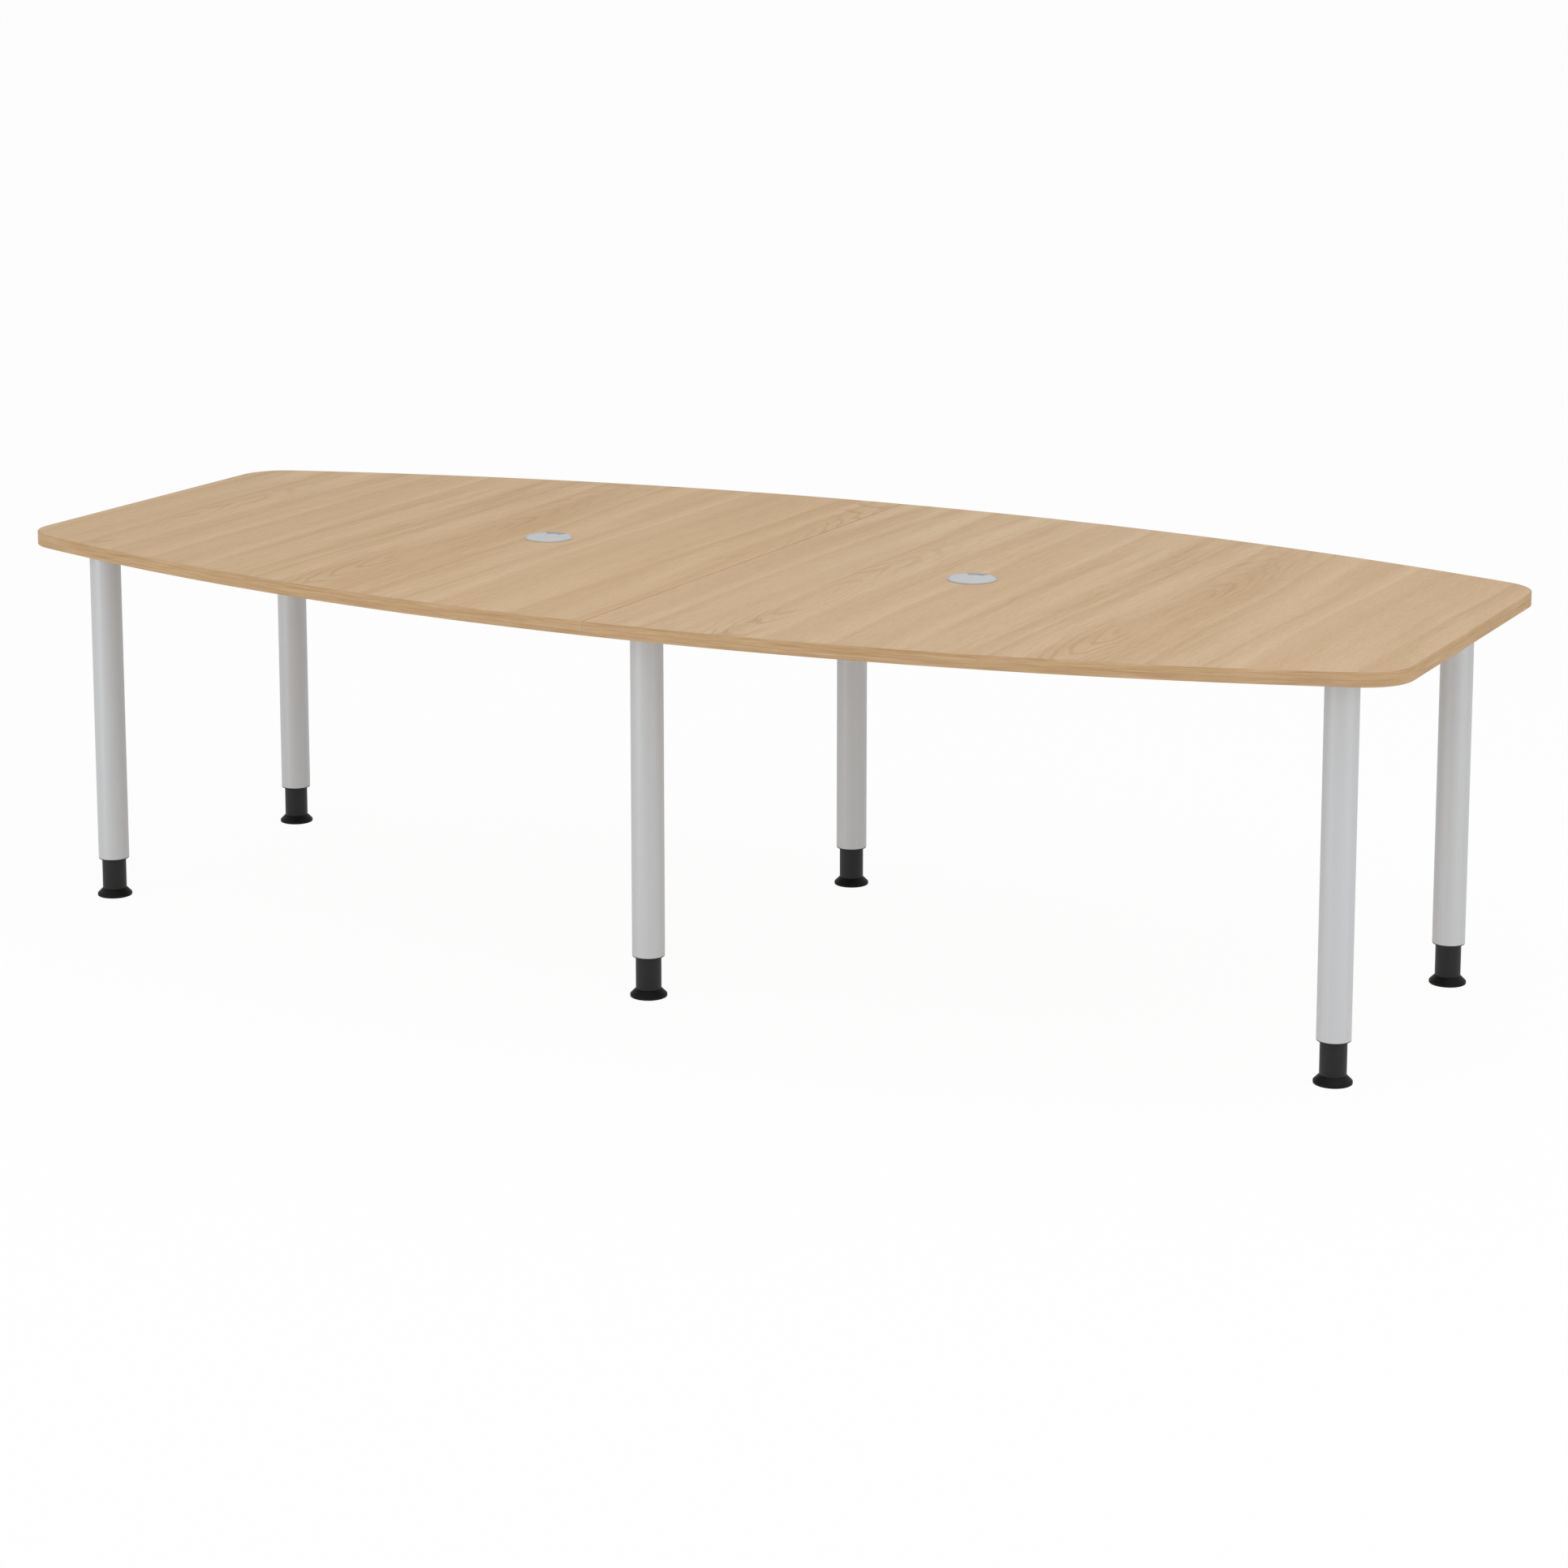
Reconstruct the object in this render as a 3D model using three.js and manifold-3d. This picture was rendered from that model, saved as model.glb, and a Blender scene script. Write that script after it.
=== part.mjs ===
// Conference table: a boat-shaped top in two halves on six round legs with screw feet,
// and a cable grommet in each half.
// Millimetres, +X along the table, +Z up, origin on the floor under the middle of the top.
import * as THREE from 'three';
import { mergeVertices } from 'three/addons/utils/BufferGeometryUtils.js';
import Module from 'manifold-3d';

// Top
const TABLE_HEIGHT = 740;
const TABLE_LENGTH = 2800;
const END_WIDTH = 800;
const SIDE_BOW = 250; // how far each long side bows out at the middle
const CORNER_RADIUS = 95;
const TOP_THICKNESS = 25;
const EDGE_BAND_THICKNESS = 2;
const GLUE_LINE = 0.2;
const SEAM_GAP = 0.6;

// Clearances
const FIT = 0.3; // between pieces that rest on, fill or slide in each other
const TURN_FIT = 0.6; // round a piece that turns

// Places of the legs, measured inwards from the edges of the top to the leg's axis
const END_LEG_SETBACK = 127;
const END_LEG_SIDE_SETBACK = 80;
const MIDDLE_LEG_SETBACK = 230;

// Leg tube and the head that carries it
const TUBE_DIAMETER = 60;
const TUBE_WALL = 2;
const HEAD_PLATE_MARGIN = 25; // how far the plate stands out round the tube
const HEAD_PLATE_THICKNESS = 6;
const HEAD_SPIGOT_LENGTH = 45;
const HEAD_SPIGOT_WALL = 6;
const HEAD_SCREW_COUNT = 4;
const SCREW_HOLE_DIAMETER = 5.5;
const SET_SCREW_DIAMETER = 8;
const SET_SCREW_LENGTH = 8;
const SET_SCREW_DROP = 14; // below the head's plate
const SET_SCREW_RECESS = 0.5; // below the tube's surface
const SET_SCREW_SOCKET_DIAMETER = 4.6; // across the corners of the hexagon
const SET_SCREW_SOCKET_DEPTH = 4;

// Foot, stem and the bush that guides them
const LOWERING_TRAVEL = 60; // the table stands at its highest and can go this far down
const STOP_GAP = 1.2; // left at the end of the travel
const FOOT_RIM_HEIGHT = 4.5;
const FOOT_FLARE_HEIGHT = 10.5;
const FOOT_FLARE_WIDTH = 10.5; // how far the rim stands out round the stem
const FOOT_FLOOR = 6; // under the spindle
const FOOT_SPIGOT_LENGTH = 25;
const STEM_WALL = 3;
const SPINDLE_DIAMETER = 20;
const BUSH_WALL = 3.9;
const BUSH_COLLAR_THICKNESS = 1.5;
const BUSH_COLLAR_INSET = 1.2; // inside the tube's outer surface
const BUSH_GUIDE_LENGTH = 60; // round the stem when the table is at its highest
const NUT_LENGTH = 25;

// Cable grommets
const GROMMET_OFFSET = 450; // from the seam
const GROMMET_BORE = 80;
const SLEEVE_WALL = 2;
const SLEEVE_DEPTH = 22;
const FLANGE_WIDTH = 6;
const FLANGE_FLOOR = 1;
const FLANGE_RIM = 2;
const CAP_THICKNESS = 1.2;
const SHUTTER_THICKNESS = 1.5;
const SLOT_DEPTH = 15.5;
const SLOT_SPREAD = THREE.MathUtils.degToRad(56);
const SLOT_DIRECTION = THREE.MathUtils.degToRad(99); // towards the back of the table
const RIB_COUNT = 3;
const RIB_WIDTH = 6;
const RIB_DEPTH = 2;
const PIN_DIAMETER = 8;
const PIN_HEAD_MARGIN = 2;
const PIN_HEAD_THICKNESS = 2;

// What joins the two halves
const SEAM_PLATE_COUNT = 2;
const SEAM_PLATE_LENGTH = 120;
const SEAM_PLATE_WIDTH = 40;
const SEAM_PLATE_THICKNESS = 3;
const SEAM_PLATE_HOLE_INSET = 10;
const DOWEL_COUNT = 4;
const DOWEL_DIAMETER = 8;
const DOWEL_LENGTH = 40;
const DOWEL_SETBACK = 90; // from the long sides to the outer dowels

// Steps round a circle. An arc of an outline is drawn with twice its steps.
const ROUND_STEPS = 24;
const SMALL_ROUND_STEPS = 8;
const OUTLINE_ARC_STEPS = 7;
const PRISM_ARC_STEPS = 4;
const HEXAGON = 6;

// How far a cutter runs past the face that it cuts
const CUT_PAST = 1;

// Heights and radii that follow from the sizes above
const halfLength = TABLE_LENGTH / 2;
const halfMiddleWidth = END_WIDTH / 2 + SIDE_BOW;
const underside = TABLE_HEIGHT - TOP_THICKNESS;
const headPlateTop = underside - FIT;
const headPlateBottom = headPlateTop - HEAD_PLATE_THICKNESS;
const tubeTop = headPlateBottom - FIT;
const tubeRadius = TUBE_DIAMETER / 2;
const tubeBoreRadius = tubeRadius - TUBE_WALL;
const plugRadius = tubeBoreRadius - FIT; // of what fills the tube's bore
const stemRadius = plugRadius - BUSH_WALL - FIT;
const footHeight = FOOT_RIM_HEIGHT + FOOT_FLARE_HEIGHT;
const bushBottom = footHeight + LOWERING_TRAVEL + STOP_GAP;
const tubeBottom = bushBottom + BUSH_COLLAR_THICKNESS + FIT;
const stemTop = tubeBottom + BUSH_GUIDE_LENGTH;
const nutBottom = stemTop + LOWERING_TRAVEL + STOP_GAP;
const nutTop = nutBottom + NUT_LENGTH;
const spindleTop = nutTop + STOP_GAP;
const spindleRadius = SPINDLE_DIAMETER / 2;
const setScrewHeight = headPlateBottom - SET_SCREW_DROP;
const setScrewHoleRadius = SET_SCREW_DIAMETER / 2 + FIT;
const sleeveRadius = GROMMET_BORE / 2 - FIT;
const sleeveBoreRadius = sleeveRadius - SLEEVE_WALL;
const flangeBottom = TABLE_HEIGHT + FIT;
const flangeFloorTop = flangeBottom + FLANGE_FLOOR;
const capBottom = flangeFloorTop + FIT;
const capTop = capBottom + CAP_THICKNESS;
const flangeRadius = GROMMET_BORE / 2 + FLANGE_WIDTH;
const recessRadius = flangeRadius - FLANGE_RIM;
const capRadius = recessRadius - TURN_FIT;
const shutterTop = capBottom - FIT;
const shutterBottom = shutterTop - SHUTTER_THICKNESS;
const pinRadius = PIN_DIAMETER / 2;

// Finishes
const finishes = {
  board: { color: '#c7ad8c', roughness: 0.55, metalness: 0 },
  edging: { color: '#bc9d77', roughness: 0.5, metalness: 0 },
  silverPaint: { color: '#c0c0c0', roughness: 0.4, metalness: 0.6 },
  blackPlastic: { color: '#262626', roughness: 0.5, metalness: 0 },
  greyPlastic: { color: '#bec1c6', roughness: 0.45, metalness: 0 },
  steel: { color: '#9a9da0', roughness: 0.35, metalness: 1 },
  dowelWood: { color: '#d2b48c', roughness: 0.8, metalness: 0 },
};

const wasm = await Module();
wasm.setup();

// A closed geometry as a solid that can be cut or joined.
function solidOf(geometry) {
  const bare = geometry.clone();
  bare.deleteAttribute('normal');
  bare.deleteAttribute('uv');
  const merged = mergeVertices(bare);
  return new wasm.Manifold(new wasm.Mesh({
    numProp: 3,
    vertProperties: merged.attributes.position.array,
    triVerts: new Uint32Array(merged.index.array),
  }));
}

function geometryOf(solid) {
  const mesh = solid.getMesh();
  return new THREE.BufferGeometry()
    .setAttribute('position', new THREE.BufferAttribute(mesh.vertProperties, 3))
    .setIndex(new THREE.BufferAttribute(mesh.triVerts, 1));
}

function cut(geometry, ...cutters) {
  return geometryOf(cutters.reduce(
    (solid, cutter) => solid.subtract(solidOf(cutter)),
    solidOf(geometry),
  ));
}

function join(geometry, ...others) {
  return geometryOf(others.reduce(
    (solid, other) => solid.add(solidOf(other)),
    solidOf(geometry),
  ));
}

// A solid of revolution about Z from [radius, height] pairs, listed with the material on the left.
function turned(profile, steps = ROUND_STEPS, closed = false) {
  const points = profile.map(([radius, height]) => new THREE.Vector2(radius, height));
  if (closed) {
    points.push(points[0].clone());
  }
  return new THREE.LatheGeometry(points, steps).rotateX(Math.PI / 2);
}

// A round bar standing on Z, from one height to another.
function bar(radius, bottom, top, steps = SMALL_ROUND_STEPS) {
  return turned([[0, bottom], [radius, bottom], [radius, top], [0, top]], steps);
}

function prism(shape, bottom, top) {
  const settings = { depth: top - bottom, bevelEnabled: false, curveSegments: PRISM_ARC_STEPS };
  return new THREE.ExtrudeGeometry(shape, settings).translate(0, 0, bottom);
}

function piece(name, geometry, finish) {
  const mesh = new THREE.Mesh(geometry, new THREE.MeshStandardMaterial(finishes[finish]));
  mesh.name = name;
  return mesh;
}

// Places spread evenly from -reach to +reach, or one in the middle.
function spread(count, reach) {
  const step = count > 1 ? 2 * reach / (count - 1) : 0;
  return Array.from({ length: count }, (_, i) => step * (i - (count - 1) / 2));
}

// Outline of the right half, set in from the edge, from the front end of the seam round to its back end.
// Each long side is one arc, and the corners are arcs that run into it and into the straight end.
function halfOutline(inset) {
  const sideRadius = (halfLength ** 2 + SIDE_BOW ** 2) / (2 * SIDE_BOW);
  const sideCentre = halfMiddleWidth - sideRadius;
  const cornerX = halfLength - CORNER_RADIUS;
  const cornerY = sideCentre + Math.sqrt((sideRadius - CORNER_RADIUS) ** 2 - cornerX ** 2);
  const cornerAngle = Math.atan2(cornerY - sideCentre, cornerX);
  const seamAngle = Math.acos(SEAM_GAP / 2 / (sideRadius - inset));
  const path = new THREE.Path();
  path.absarc(0, -sideCentre, sideRadius - inset, -seamAngle, -cornerAngle);
  path.absarc(cornerX, -cornerY, CORNER_RADIUS - inset, -cornerAngle, 0);
  path.absarc(cornerX, cornerY, CORNER_RADIUS - inset, 0, cornerAngle);
  path.absarc(0, sideCentre, sideRadius - inset, cornerAngle, seamAngle);
  return path.getPoints(OUTLINE_ARC_STEPS);
}

// A dowel's hole or the dowel itself, lying along X in the middle of the board.
function dowelBar(radius, reach, y) {
  const middle = underside + TOP_THICKNESS / 2;
  return bar(radius, -reach, reach).rotateY(Math.PI / 2).translate(0, y, middle);
}

const dowelPlaces = spread(DOWEL_COUNT, halfMiddleWidth - DOWEL_SETBACK);

// Both halves are the same board, turned round.
function boardGeometry() {
  const board = prism(
    new THREE.Shape(halfOutline(EDGE_BAND_THICKNESS + GLUE_LINE)),
    underside,
    TABLE_HEIGHT,
  );
  const bore = bar(GROMMET_BORE / 2, underside - CUT_PAST, TABLE_HEIGHT + CUT_PAST, ROUND_STEPS)
    .translate(GROMMET_OFFSET, 0, 0);
  const dowelHoles = dowelPlaces.map(
    (y) => dowelBar(DOWEL_DIAMETER / 2 + FIT, DOWEL_LENGTH / 2 + FIT, y),
  );
  return cut(board, bore, ...dowelHoles);
}

function edgeBandGeometry() {
  const outer = halfOutline(0);
  const inner = halfOutline(EDGE_BAND_THICKNESS).reverse();
  return prism(new THREE.Shape([...outer, ...inner]), underside, TABLE_HEIGHT);
}

function makeTop() {
  const group = new THREE.Group();
  const board = boardGeometry();
  const band = edgeBandGeometry();
  for (const [side, turn] of [['left', Math.PI], ['right', 0]]) {
    const half = new THREE.Group();
    half.rotation.z = turn;
    half.add(piece(`top_${side}`, board, 'board'));
    half.add(piece(`edge_band_${side}`, band, 'edging'));
    group.add(half);
  }
  return group;
}

// Flat plates screwed across the seam, evenly spaced between the two middle legs.
function makeSeamJoint(middleLegY) {
  const group = new THREE.Group();
  const halfX = SEAM_PLATE_LENGTH / 2;
  const halfY = SEAM_PLATE_WIDTH / 2;
  const outline = new THREE.Shape([
    new THREE.Vector2(-halfX, -halfY),
    new THREE.Vector2(halfX, -halfY),
    new THREE.Vector2(halfX, halfY),
    new THREE.Vector2(-halfX, halfY),
  ]);
  for (const x of spread(2, halfX - SEAM_PLATE_HOLE_INSET)) {
    for (const y of spread(2, halfY - SEAM_PLATE_HOLE_INSET)) {
      const hole = new THREE.Path().absarc(x, y, SCREW_HOLE_DIAMETER / 2, 0, 2 * Math.PI);
      outline.holes.push(hole);
    }
  }
  const plateTop = underside - FIT;
  const plate = prism(outline, plateTop - SEAM_PLATE_THICKNESS, plateTop);
  const pitch = 2 * middleLegY / (SEAM_PLATE_COUNT + 1);
  spread(SEAM_PLATE_COUNT, pitch * (SEAM_PLATE_COUNT - 1) / 2).forEach((y, i) => {
    const mesh = piece(`seam_plate_${i + 1}`, plate, 'steel');
    mesh.position.y = y;
    group.add(mesh);
  });
  dowelPlaces.forEach((y, i) => {
    const dowel = dowelBar(DOWEL_DIAMETER / 2, DOWEL_LENGTH / 2, y);
    group.add(piece(`seam_dowel_${i + 1}`, dowel, 'dowelWood'));
  });
  return group;
}

// The set screw's hole through the tube and the head, along +X.
function setScrewHole() {
  return bar(setScrewHoleRadius, 0, tubeRadius + HEAD_PLATE_MARGIN)
    .rotateY(Math.PI / 2)
    .translate(0, 0, setScrewHeight);
}

function legHeadGeometry() {
  const plateRadius = tubeRadius + HEAD_PLATE_MARGIN;
  const cupRadius = plugRadius - HEAD_SPIGOT_WALL;
  const spigotBottom = headPlateBottom - HEAD_SPIGOT_LENGTH;
  const head = turned([
    [0, headPlateBottom],
    [cupRadius, headPlateBottom],
    [cupRadius, spigotBottom],
    [plugRadius, spigotBottom],
    [plugRadius, headPlateBottom],
    [plateRadius, headPlateBottom],
    [plateRadius, headPlateTop],
    [0, headPlateTop],
  ]);
  const screwCircle = tubeRadius + HEAD_PLATE_MARGIN / 2;
  const screwHoles = Array.from({ length: HEAD_SCREW_COUNT }, (_, i) => (
    bar(SCREW_HOLE_DIAMETER / 2, headPlateBottom - CUT_PAST, headPlateTop + CUT_PAST)
      .translate(screwCircle, 0, 0)
      .rotateZ(2 * Math.PI * (i + 0.5) / HEAD_SCREW_COUNT)
  ));
  return cut(head, setScrewHole(), ...screwHoles);
}

function tubeGeometry() {
  const tube = turned([
    [tubeBoreRadius, tubeBottom],
    [tubeRadius, tubeBottom],
    [tubeRadius, tubeTop],
    [tubeBoreRadius, tubeTop],
  ], ROUND_STEPS, true);
  return cut(tube, setScrewHole());
}

function setScrewGeometry() {
  const end = tubeRadius - SET_SCREW_RECESS;
  const screw = bar(SET_SCREW_DIAMETER / 2, end - SET_SCREW_LENGTH, end);
  const socketBottom = end - SET_SCREW_SOCKET_DEPTH;
  const socket = bar(SET_SCREW_SOCKET_DIAMETER / 2, socketBottom, end + CUT_PAST, HEXAGON);
  return cut(screw, socket).rotateY(Math.PI / 2).translate(0, 0, setScrewHeight);
}

// A sleeve that guides the stem, with a collar under the tube and the spindle's nut at its upper end.
function bushGeometry() {
  const guideRadius = stemRadius + FIT;
  const collarRadius = tubeRadius - BUSH_COLLAR_INSET;
  const collarTop = bushBottom + BUSH_COLLAR_THICKNESS;
  const nutRadius = spindleRadius + TURN_FIT;
  return turned([
    [guideRadius, bushBottom],
    [collarRadius, bushBottom],
    [collarRadius, collarTop],
    [plugRadius, collarTop],
    [plugRadius, nutTop],
    [nutRadius, nutTop],
    [nutRadius, nutBottom],
    [guideRadius, nutBottom],
  ], ROUND_STEPS, true);
}

function stemGeometry() {
  const boreRadius = stemRadius - STEM_WALL;
  const bottom = footHeight + FIT;
  return turned([
    [boreRadius, bottom],
    [stemRadius, bottom],
    [stemRadius, stemTop],
    [boreRadius, stemTop],
  ], ROUND_STEPS, true);
}

// A flared base whose spigot turns inside the stem and holds the spindle.
function footGeometry() {
  const rimRadius = stemRadius + FOOT_FLARE_WIDTH;
  const spigotRadius = stemRadius - STEM_WALL - TURN_FIT;
  const spigotTop = footHeight + FOOT_SPIGOT_LENGTH;
  const socketRadius = spindleRadius + FIT;
  return turned([
    [0, 0],
    [rimRadius, 0],
    [rimRadius, FOOT_RIM_HEIGHT],
    [stemRadius, footHeight],
    [spigotRadius, footHeight],
    [spigotRadius, spigotTop],
    [socketRadius, spigotTop],
    [socketRadius, FOOT_FLOOR],
    [0, FOOT_FLOOR],
  ]);
}

function makeLegs(middleLegY) {
  const shapes = [
    ['leg_head', legHeadGeometry(), 'silverPaint'],
    ['leg_tube', tubeGeometry(), 'silverPaint'],
    ['set_screw', setScrewGeometry(), 'steel'],
    ['guide_bush', bushGeometry(), 'blackPlastic'],
    ['foot_stem', stemGeometry(), 'blackPlastic'],
    ['foot', footGeometry(), 'blackPlastic'],
    ['foot_spindle', bar(spindleRadius, FOOT_FLOOR + FIT, spindleTop), 'steel'],
  ];
  const endX = halfLength - END_LEG_SETBACK;
  const endY = END_WIDTH / 2 - END_LEG_SIDE_SETBACK;
  // name, place, and the direction that the set screw faces, which is inwards
  const places = [
    ['front_left', -endX, -endY, 0],
    ['back_left', -endX, endY, 0],
    ['front_middle', 0, -middleLegY, Math.PI / 2],
    ['back_middle', 0, middleLegY, -Math.PI / 2],
    ['front_right', endX, -endY, Math.PI],
    ['back_right', endX, endY, Math.PI],
  ];
  const group = new THREE.Group();
  for (const [place, x, y, facing] of places) {
    const leg = new THREE.Group();
    leg.position.set(x, y, 0);
    leg.rotation.z = facing;
    for (const [name, geometry, finish] of shapes) {
      leg.add(piece(`${name}_${place}`, geometry, finish));
    }
    group.add(leg);
  }
  return group;
}

// The cable slot through the cap and the shutter: a stretch of their rims, towards the back.
function slotCutter() {
  const shape = new THREE.Shape();
  shape.absarc(0, 0, flangeRadius, -SLOT_SPREAD / 2, SLOT_SPREAD / 2);
  shape.absarc(0, 0, capRadius - SLOT_DEPTH, SLOT_SPREAD / 2, -SLOT_SPREAD / 2, true);
  return prism(shape, shutterBottom - CUT_PAST, capTop + CUT_PAST).rotateZ(SLOT_DIRECTION);
}

// A flanged ring in the bored hole, with ribs that carry the shutter.
function sleeveGeometry() {
  const sleeveBottom = TABLE_HEIGHT - SLEEVE_DEPTH;
  const sleeve = turned([
    [sleeveBoreRadius, sleeveBottom],
    [sleeveRadius, sleeveBottom],
    [sleeveRadius, flangeBottom],
    [flangeRadius, flangeBottom],
    [flangeRadius, capTop],
    [recessRadius, capTop],
    [recessRadius, flangeFloorTop],
    [sleeveBoreRadius, flangeFloorTop],
  ], ROUND_STEPS, true);
  const ribTop = shutterBottom - FIT;
  const root = SLEEVE_WALL / 2; // how far a rib is let into the wall
  const ribs = Array.from({ length: RIB_COUNT }, (_, i) => (
    new THREE.BoxGeometry(RIB_DEPTH + root, RIB_WIDTH, ribTop - sleeveBottom)
      .translate(sleeveBoreRadius + (root - RIB_DEPTH) / 2, 0, (ribTop + sleeveBottom) / 2)
      .rotateZ(SLOT_DIRECTION + 2 * Math.PI * (i + 1) / (RIB_COUNT + 1))
  ));
  return join(sleeve, ...ribs);
}

function shutterGeometry() {
  const radius = sleeveBoreRadius - FIT;
  const holeRadius = pinRadius + TURN_FIT;
  const disc = turned([
    [holeRadius, shutterBottom],
    [radius, shutterBottom],
    [radius, shutterTop],
    [holeRadius, shutterTop],
  ], ROUND_STEPS, true);
  return cut(disc, slotCutter());
}

// A disc in the flange's recess, with a pin that snaps through the shutter.
function capGeometry() {
  const headTop = shutterBottom - FIT;
  const headBottom = headTop - PIN_HEAD_THICKNESS;
  const headRadius = pinRadius + PIN_HEAD_MARGIN;
  const disc = turned([
    [0, headBottom],
    [headRadius, headBottom],
    [headRadius, headTop],
    [pinRadius, headTop],
    [pinRadius, capBottom],
    [capRadius, capBottom],
    [capRadius, capTop],
    [0, capTop],
  ]);
  return cut(disc, slotCutter());
}

function makeGrommets() {
  const shapes = [
    ['grommet_sleeve', sleeveGeometry()],
    ['grommet_shutter', shutterGeometry()],
    ['grommet_cap', capGeometry()],
  ];
  const group = new THREE.Group();
  for (const [side, x] of [['left', -GROMMET_OFFSET], ['right', GROMMET_OFFSET]]) {
    const grommet = new THREE.Group();
    grommet.position.x = x;
    for (const [name, geometry] of shapes) {
      grommet.add(piece(`${name}_${side}`, geometry, 'greyPlastic'));
    }
    group.add(grommet);
  }
  return group;
}

function makeTable() {
  const middleLegY = halfMiddleWidth - MIDDLE_LEG_SETBACK;
  const table = new THREE.Group();
  table.add(makeTop(), makeSeamJoint(middleLegY), makeLegs(middleLegY), makeGrommets());
  return table;
}

export default makeTable();
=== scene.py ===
import math

import bmesh
import bpy
from bpy.props import FloatProperty, FloatVectorProperty, PointerProperty
from bpy.types import NodeSocket, Operator, Panel, PropertyGroup
from mathutils import Euler, Matrix, Vector
from mathutils.geometry import delaunay_2d_cdt


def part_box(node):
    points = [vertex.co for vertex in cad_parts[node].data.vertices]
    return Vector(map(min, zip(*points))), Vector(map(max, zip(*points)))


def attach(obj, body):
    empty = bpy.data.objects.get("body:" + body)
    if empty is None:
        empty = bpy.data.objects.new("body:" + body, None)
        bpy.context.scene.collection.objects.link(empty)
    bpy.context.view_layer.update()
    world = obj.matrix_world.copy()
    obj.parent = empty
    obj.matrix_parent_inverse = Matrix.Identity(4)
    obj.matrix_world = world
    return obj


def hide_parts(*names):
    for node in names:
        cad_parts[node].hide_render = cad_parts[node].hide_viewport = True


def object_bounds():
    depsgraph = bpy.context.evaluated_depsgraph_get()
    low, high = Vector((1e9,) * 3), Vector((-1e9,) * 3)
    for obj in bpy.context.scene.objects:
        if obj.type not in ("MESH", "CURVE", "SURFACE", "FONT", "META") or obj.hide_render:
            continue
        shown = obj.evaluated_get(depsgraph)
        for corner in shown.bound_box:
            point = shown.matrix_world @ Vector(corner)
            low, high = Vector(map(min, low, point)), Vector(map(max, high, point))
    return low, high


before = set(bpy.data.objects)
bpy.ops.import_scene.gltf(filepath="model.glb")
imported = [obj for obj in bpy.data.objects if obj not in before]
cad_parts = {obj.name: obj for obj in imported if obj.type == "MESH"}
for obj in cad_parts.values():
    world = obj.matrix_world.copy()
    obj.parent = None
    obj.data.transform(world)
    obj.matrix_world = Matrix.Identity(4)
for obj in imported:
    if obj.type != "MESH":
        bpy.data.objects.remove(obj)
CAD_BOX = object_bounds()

bl_info = {
    "name": "Conference Table",
    "version": (1, 0, 0),
    "blender": (4, 5, 0),
    "location": "View3D > Sidebar > Table",
    "description": "Builds a boat-shaped conference table on its loaded frame",
    "category": "Add Mesh",
}

SIDES = ("left", "right")
PLACES = (
    "front_left",
    "back_left",
    "front_middle",
    "back_middle",
    "front_right",
    "back_right",
)
FULL_TURN = 2 * math.pi

# Steps round a turned piece, round a small one, and round a softened corner
ROUND_STEPS = 96
SMALL_ROUND_STEPS = 32
SOFT_STEPS = 4
# Steps along half of a long side and round a corner of the top
SIDE_STEPS = 48
CORNER_STEPS = 20
# Steps of a round wall that a drilled hole takes up each way
PATCH_STEPS = 8
# Edges that meet at more than this are drawn sharp
SHARP_ANGLE = math.radians(32)
# The share of an edge that one softened corner may take
SOFT_SHARE = 0.45
# The kind of filling that leaves inner rims open
INSIDE_BUT_NOT_IN_HOLES = 2

# Lamps of the stage: place, width in metres and power in watts
LAMPS = {
    "top_light": ((1.8, -1.0, 5.5), 5.0, 94.0),
    "key_light": ((-3.2, -5.8, 1.9), 3.5, 102.0),
    "fill_light": ((6.5, -1.6, 1.9), 3.5, 70.0),
}
# The point that the lamps look at
LAMP_TARGET = (0.0, 0.0, 0.5)
# Strength of the even light all round, and of the white that the camera sees there
EVEN_LIGHT = 0.62
SEEN_WHITE = 0.985
# The share of plain white in the floor that the camera sees, and the floor's reach
FLOOR_WHITE = 0.95
FLOOR_REACH = 60.0
# The camera: its place, how far it is tipped up from straight down, and how far it is turned
CAMERA_PLACE = (3.3051, -6.3412, 2.1281)
CAMERA_TILT = math.radians(80.3163)
CAMERA_TURN = math.radians(27.0845)
# Its lens and sensor in millimetres, and the lens's shift as a share of the picture
LENS = 88.562
SENSOR = 36.0
LENS_SHIFT = -0.2

# Repeated small pieces
SEAM_PLATES = 2
SEAM_DOWELS = 4
HEAD_SCREWS = 4
SLEEVE_RIBS = 3


def middle(node):
    """The middle of a CAD node's box."""
    low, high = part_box(node)
    return (low + high) / 2


def span(node):
    """The size of a CAD node's box."""
    low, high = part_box(node)
    return high - low


def bottom(node):
    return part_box(node)[0].z


def top(node):
    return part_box(node)[1].z


def length(name, description, default):
    """A size in metres that a user may change."""
    return FloatProperty(
        name=name,
        description=description,
        default=default,
        min=0.0,
        precision=4,
        unit="LENGTH",
        subtype="DISTANCE",
    )


def turn(name, description, default):
    """An angle that a user may change."""
    return FloatProperty(
        name=name,
        description=description,
        default=math.radians(default),
        unit="ROTATION",
        subtype="ANGLE",
    )


def colour(name, description, default):
    """A colour that a user may change."""
    return FloatVectorProperty(
        name=name,
        description=description,
        default=default,
        size=3,
        min=0.0,
        max=1.0,
        subtype="COLOR",
    )


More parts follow.
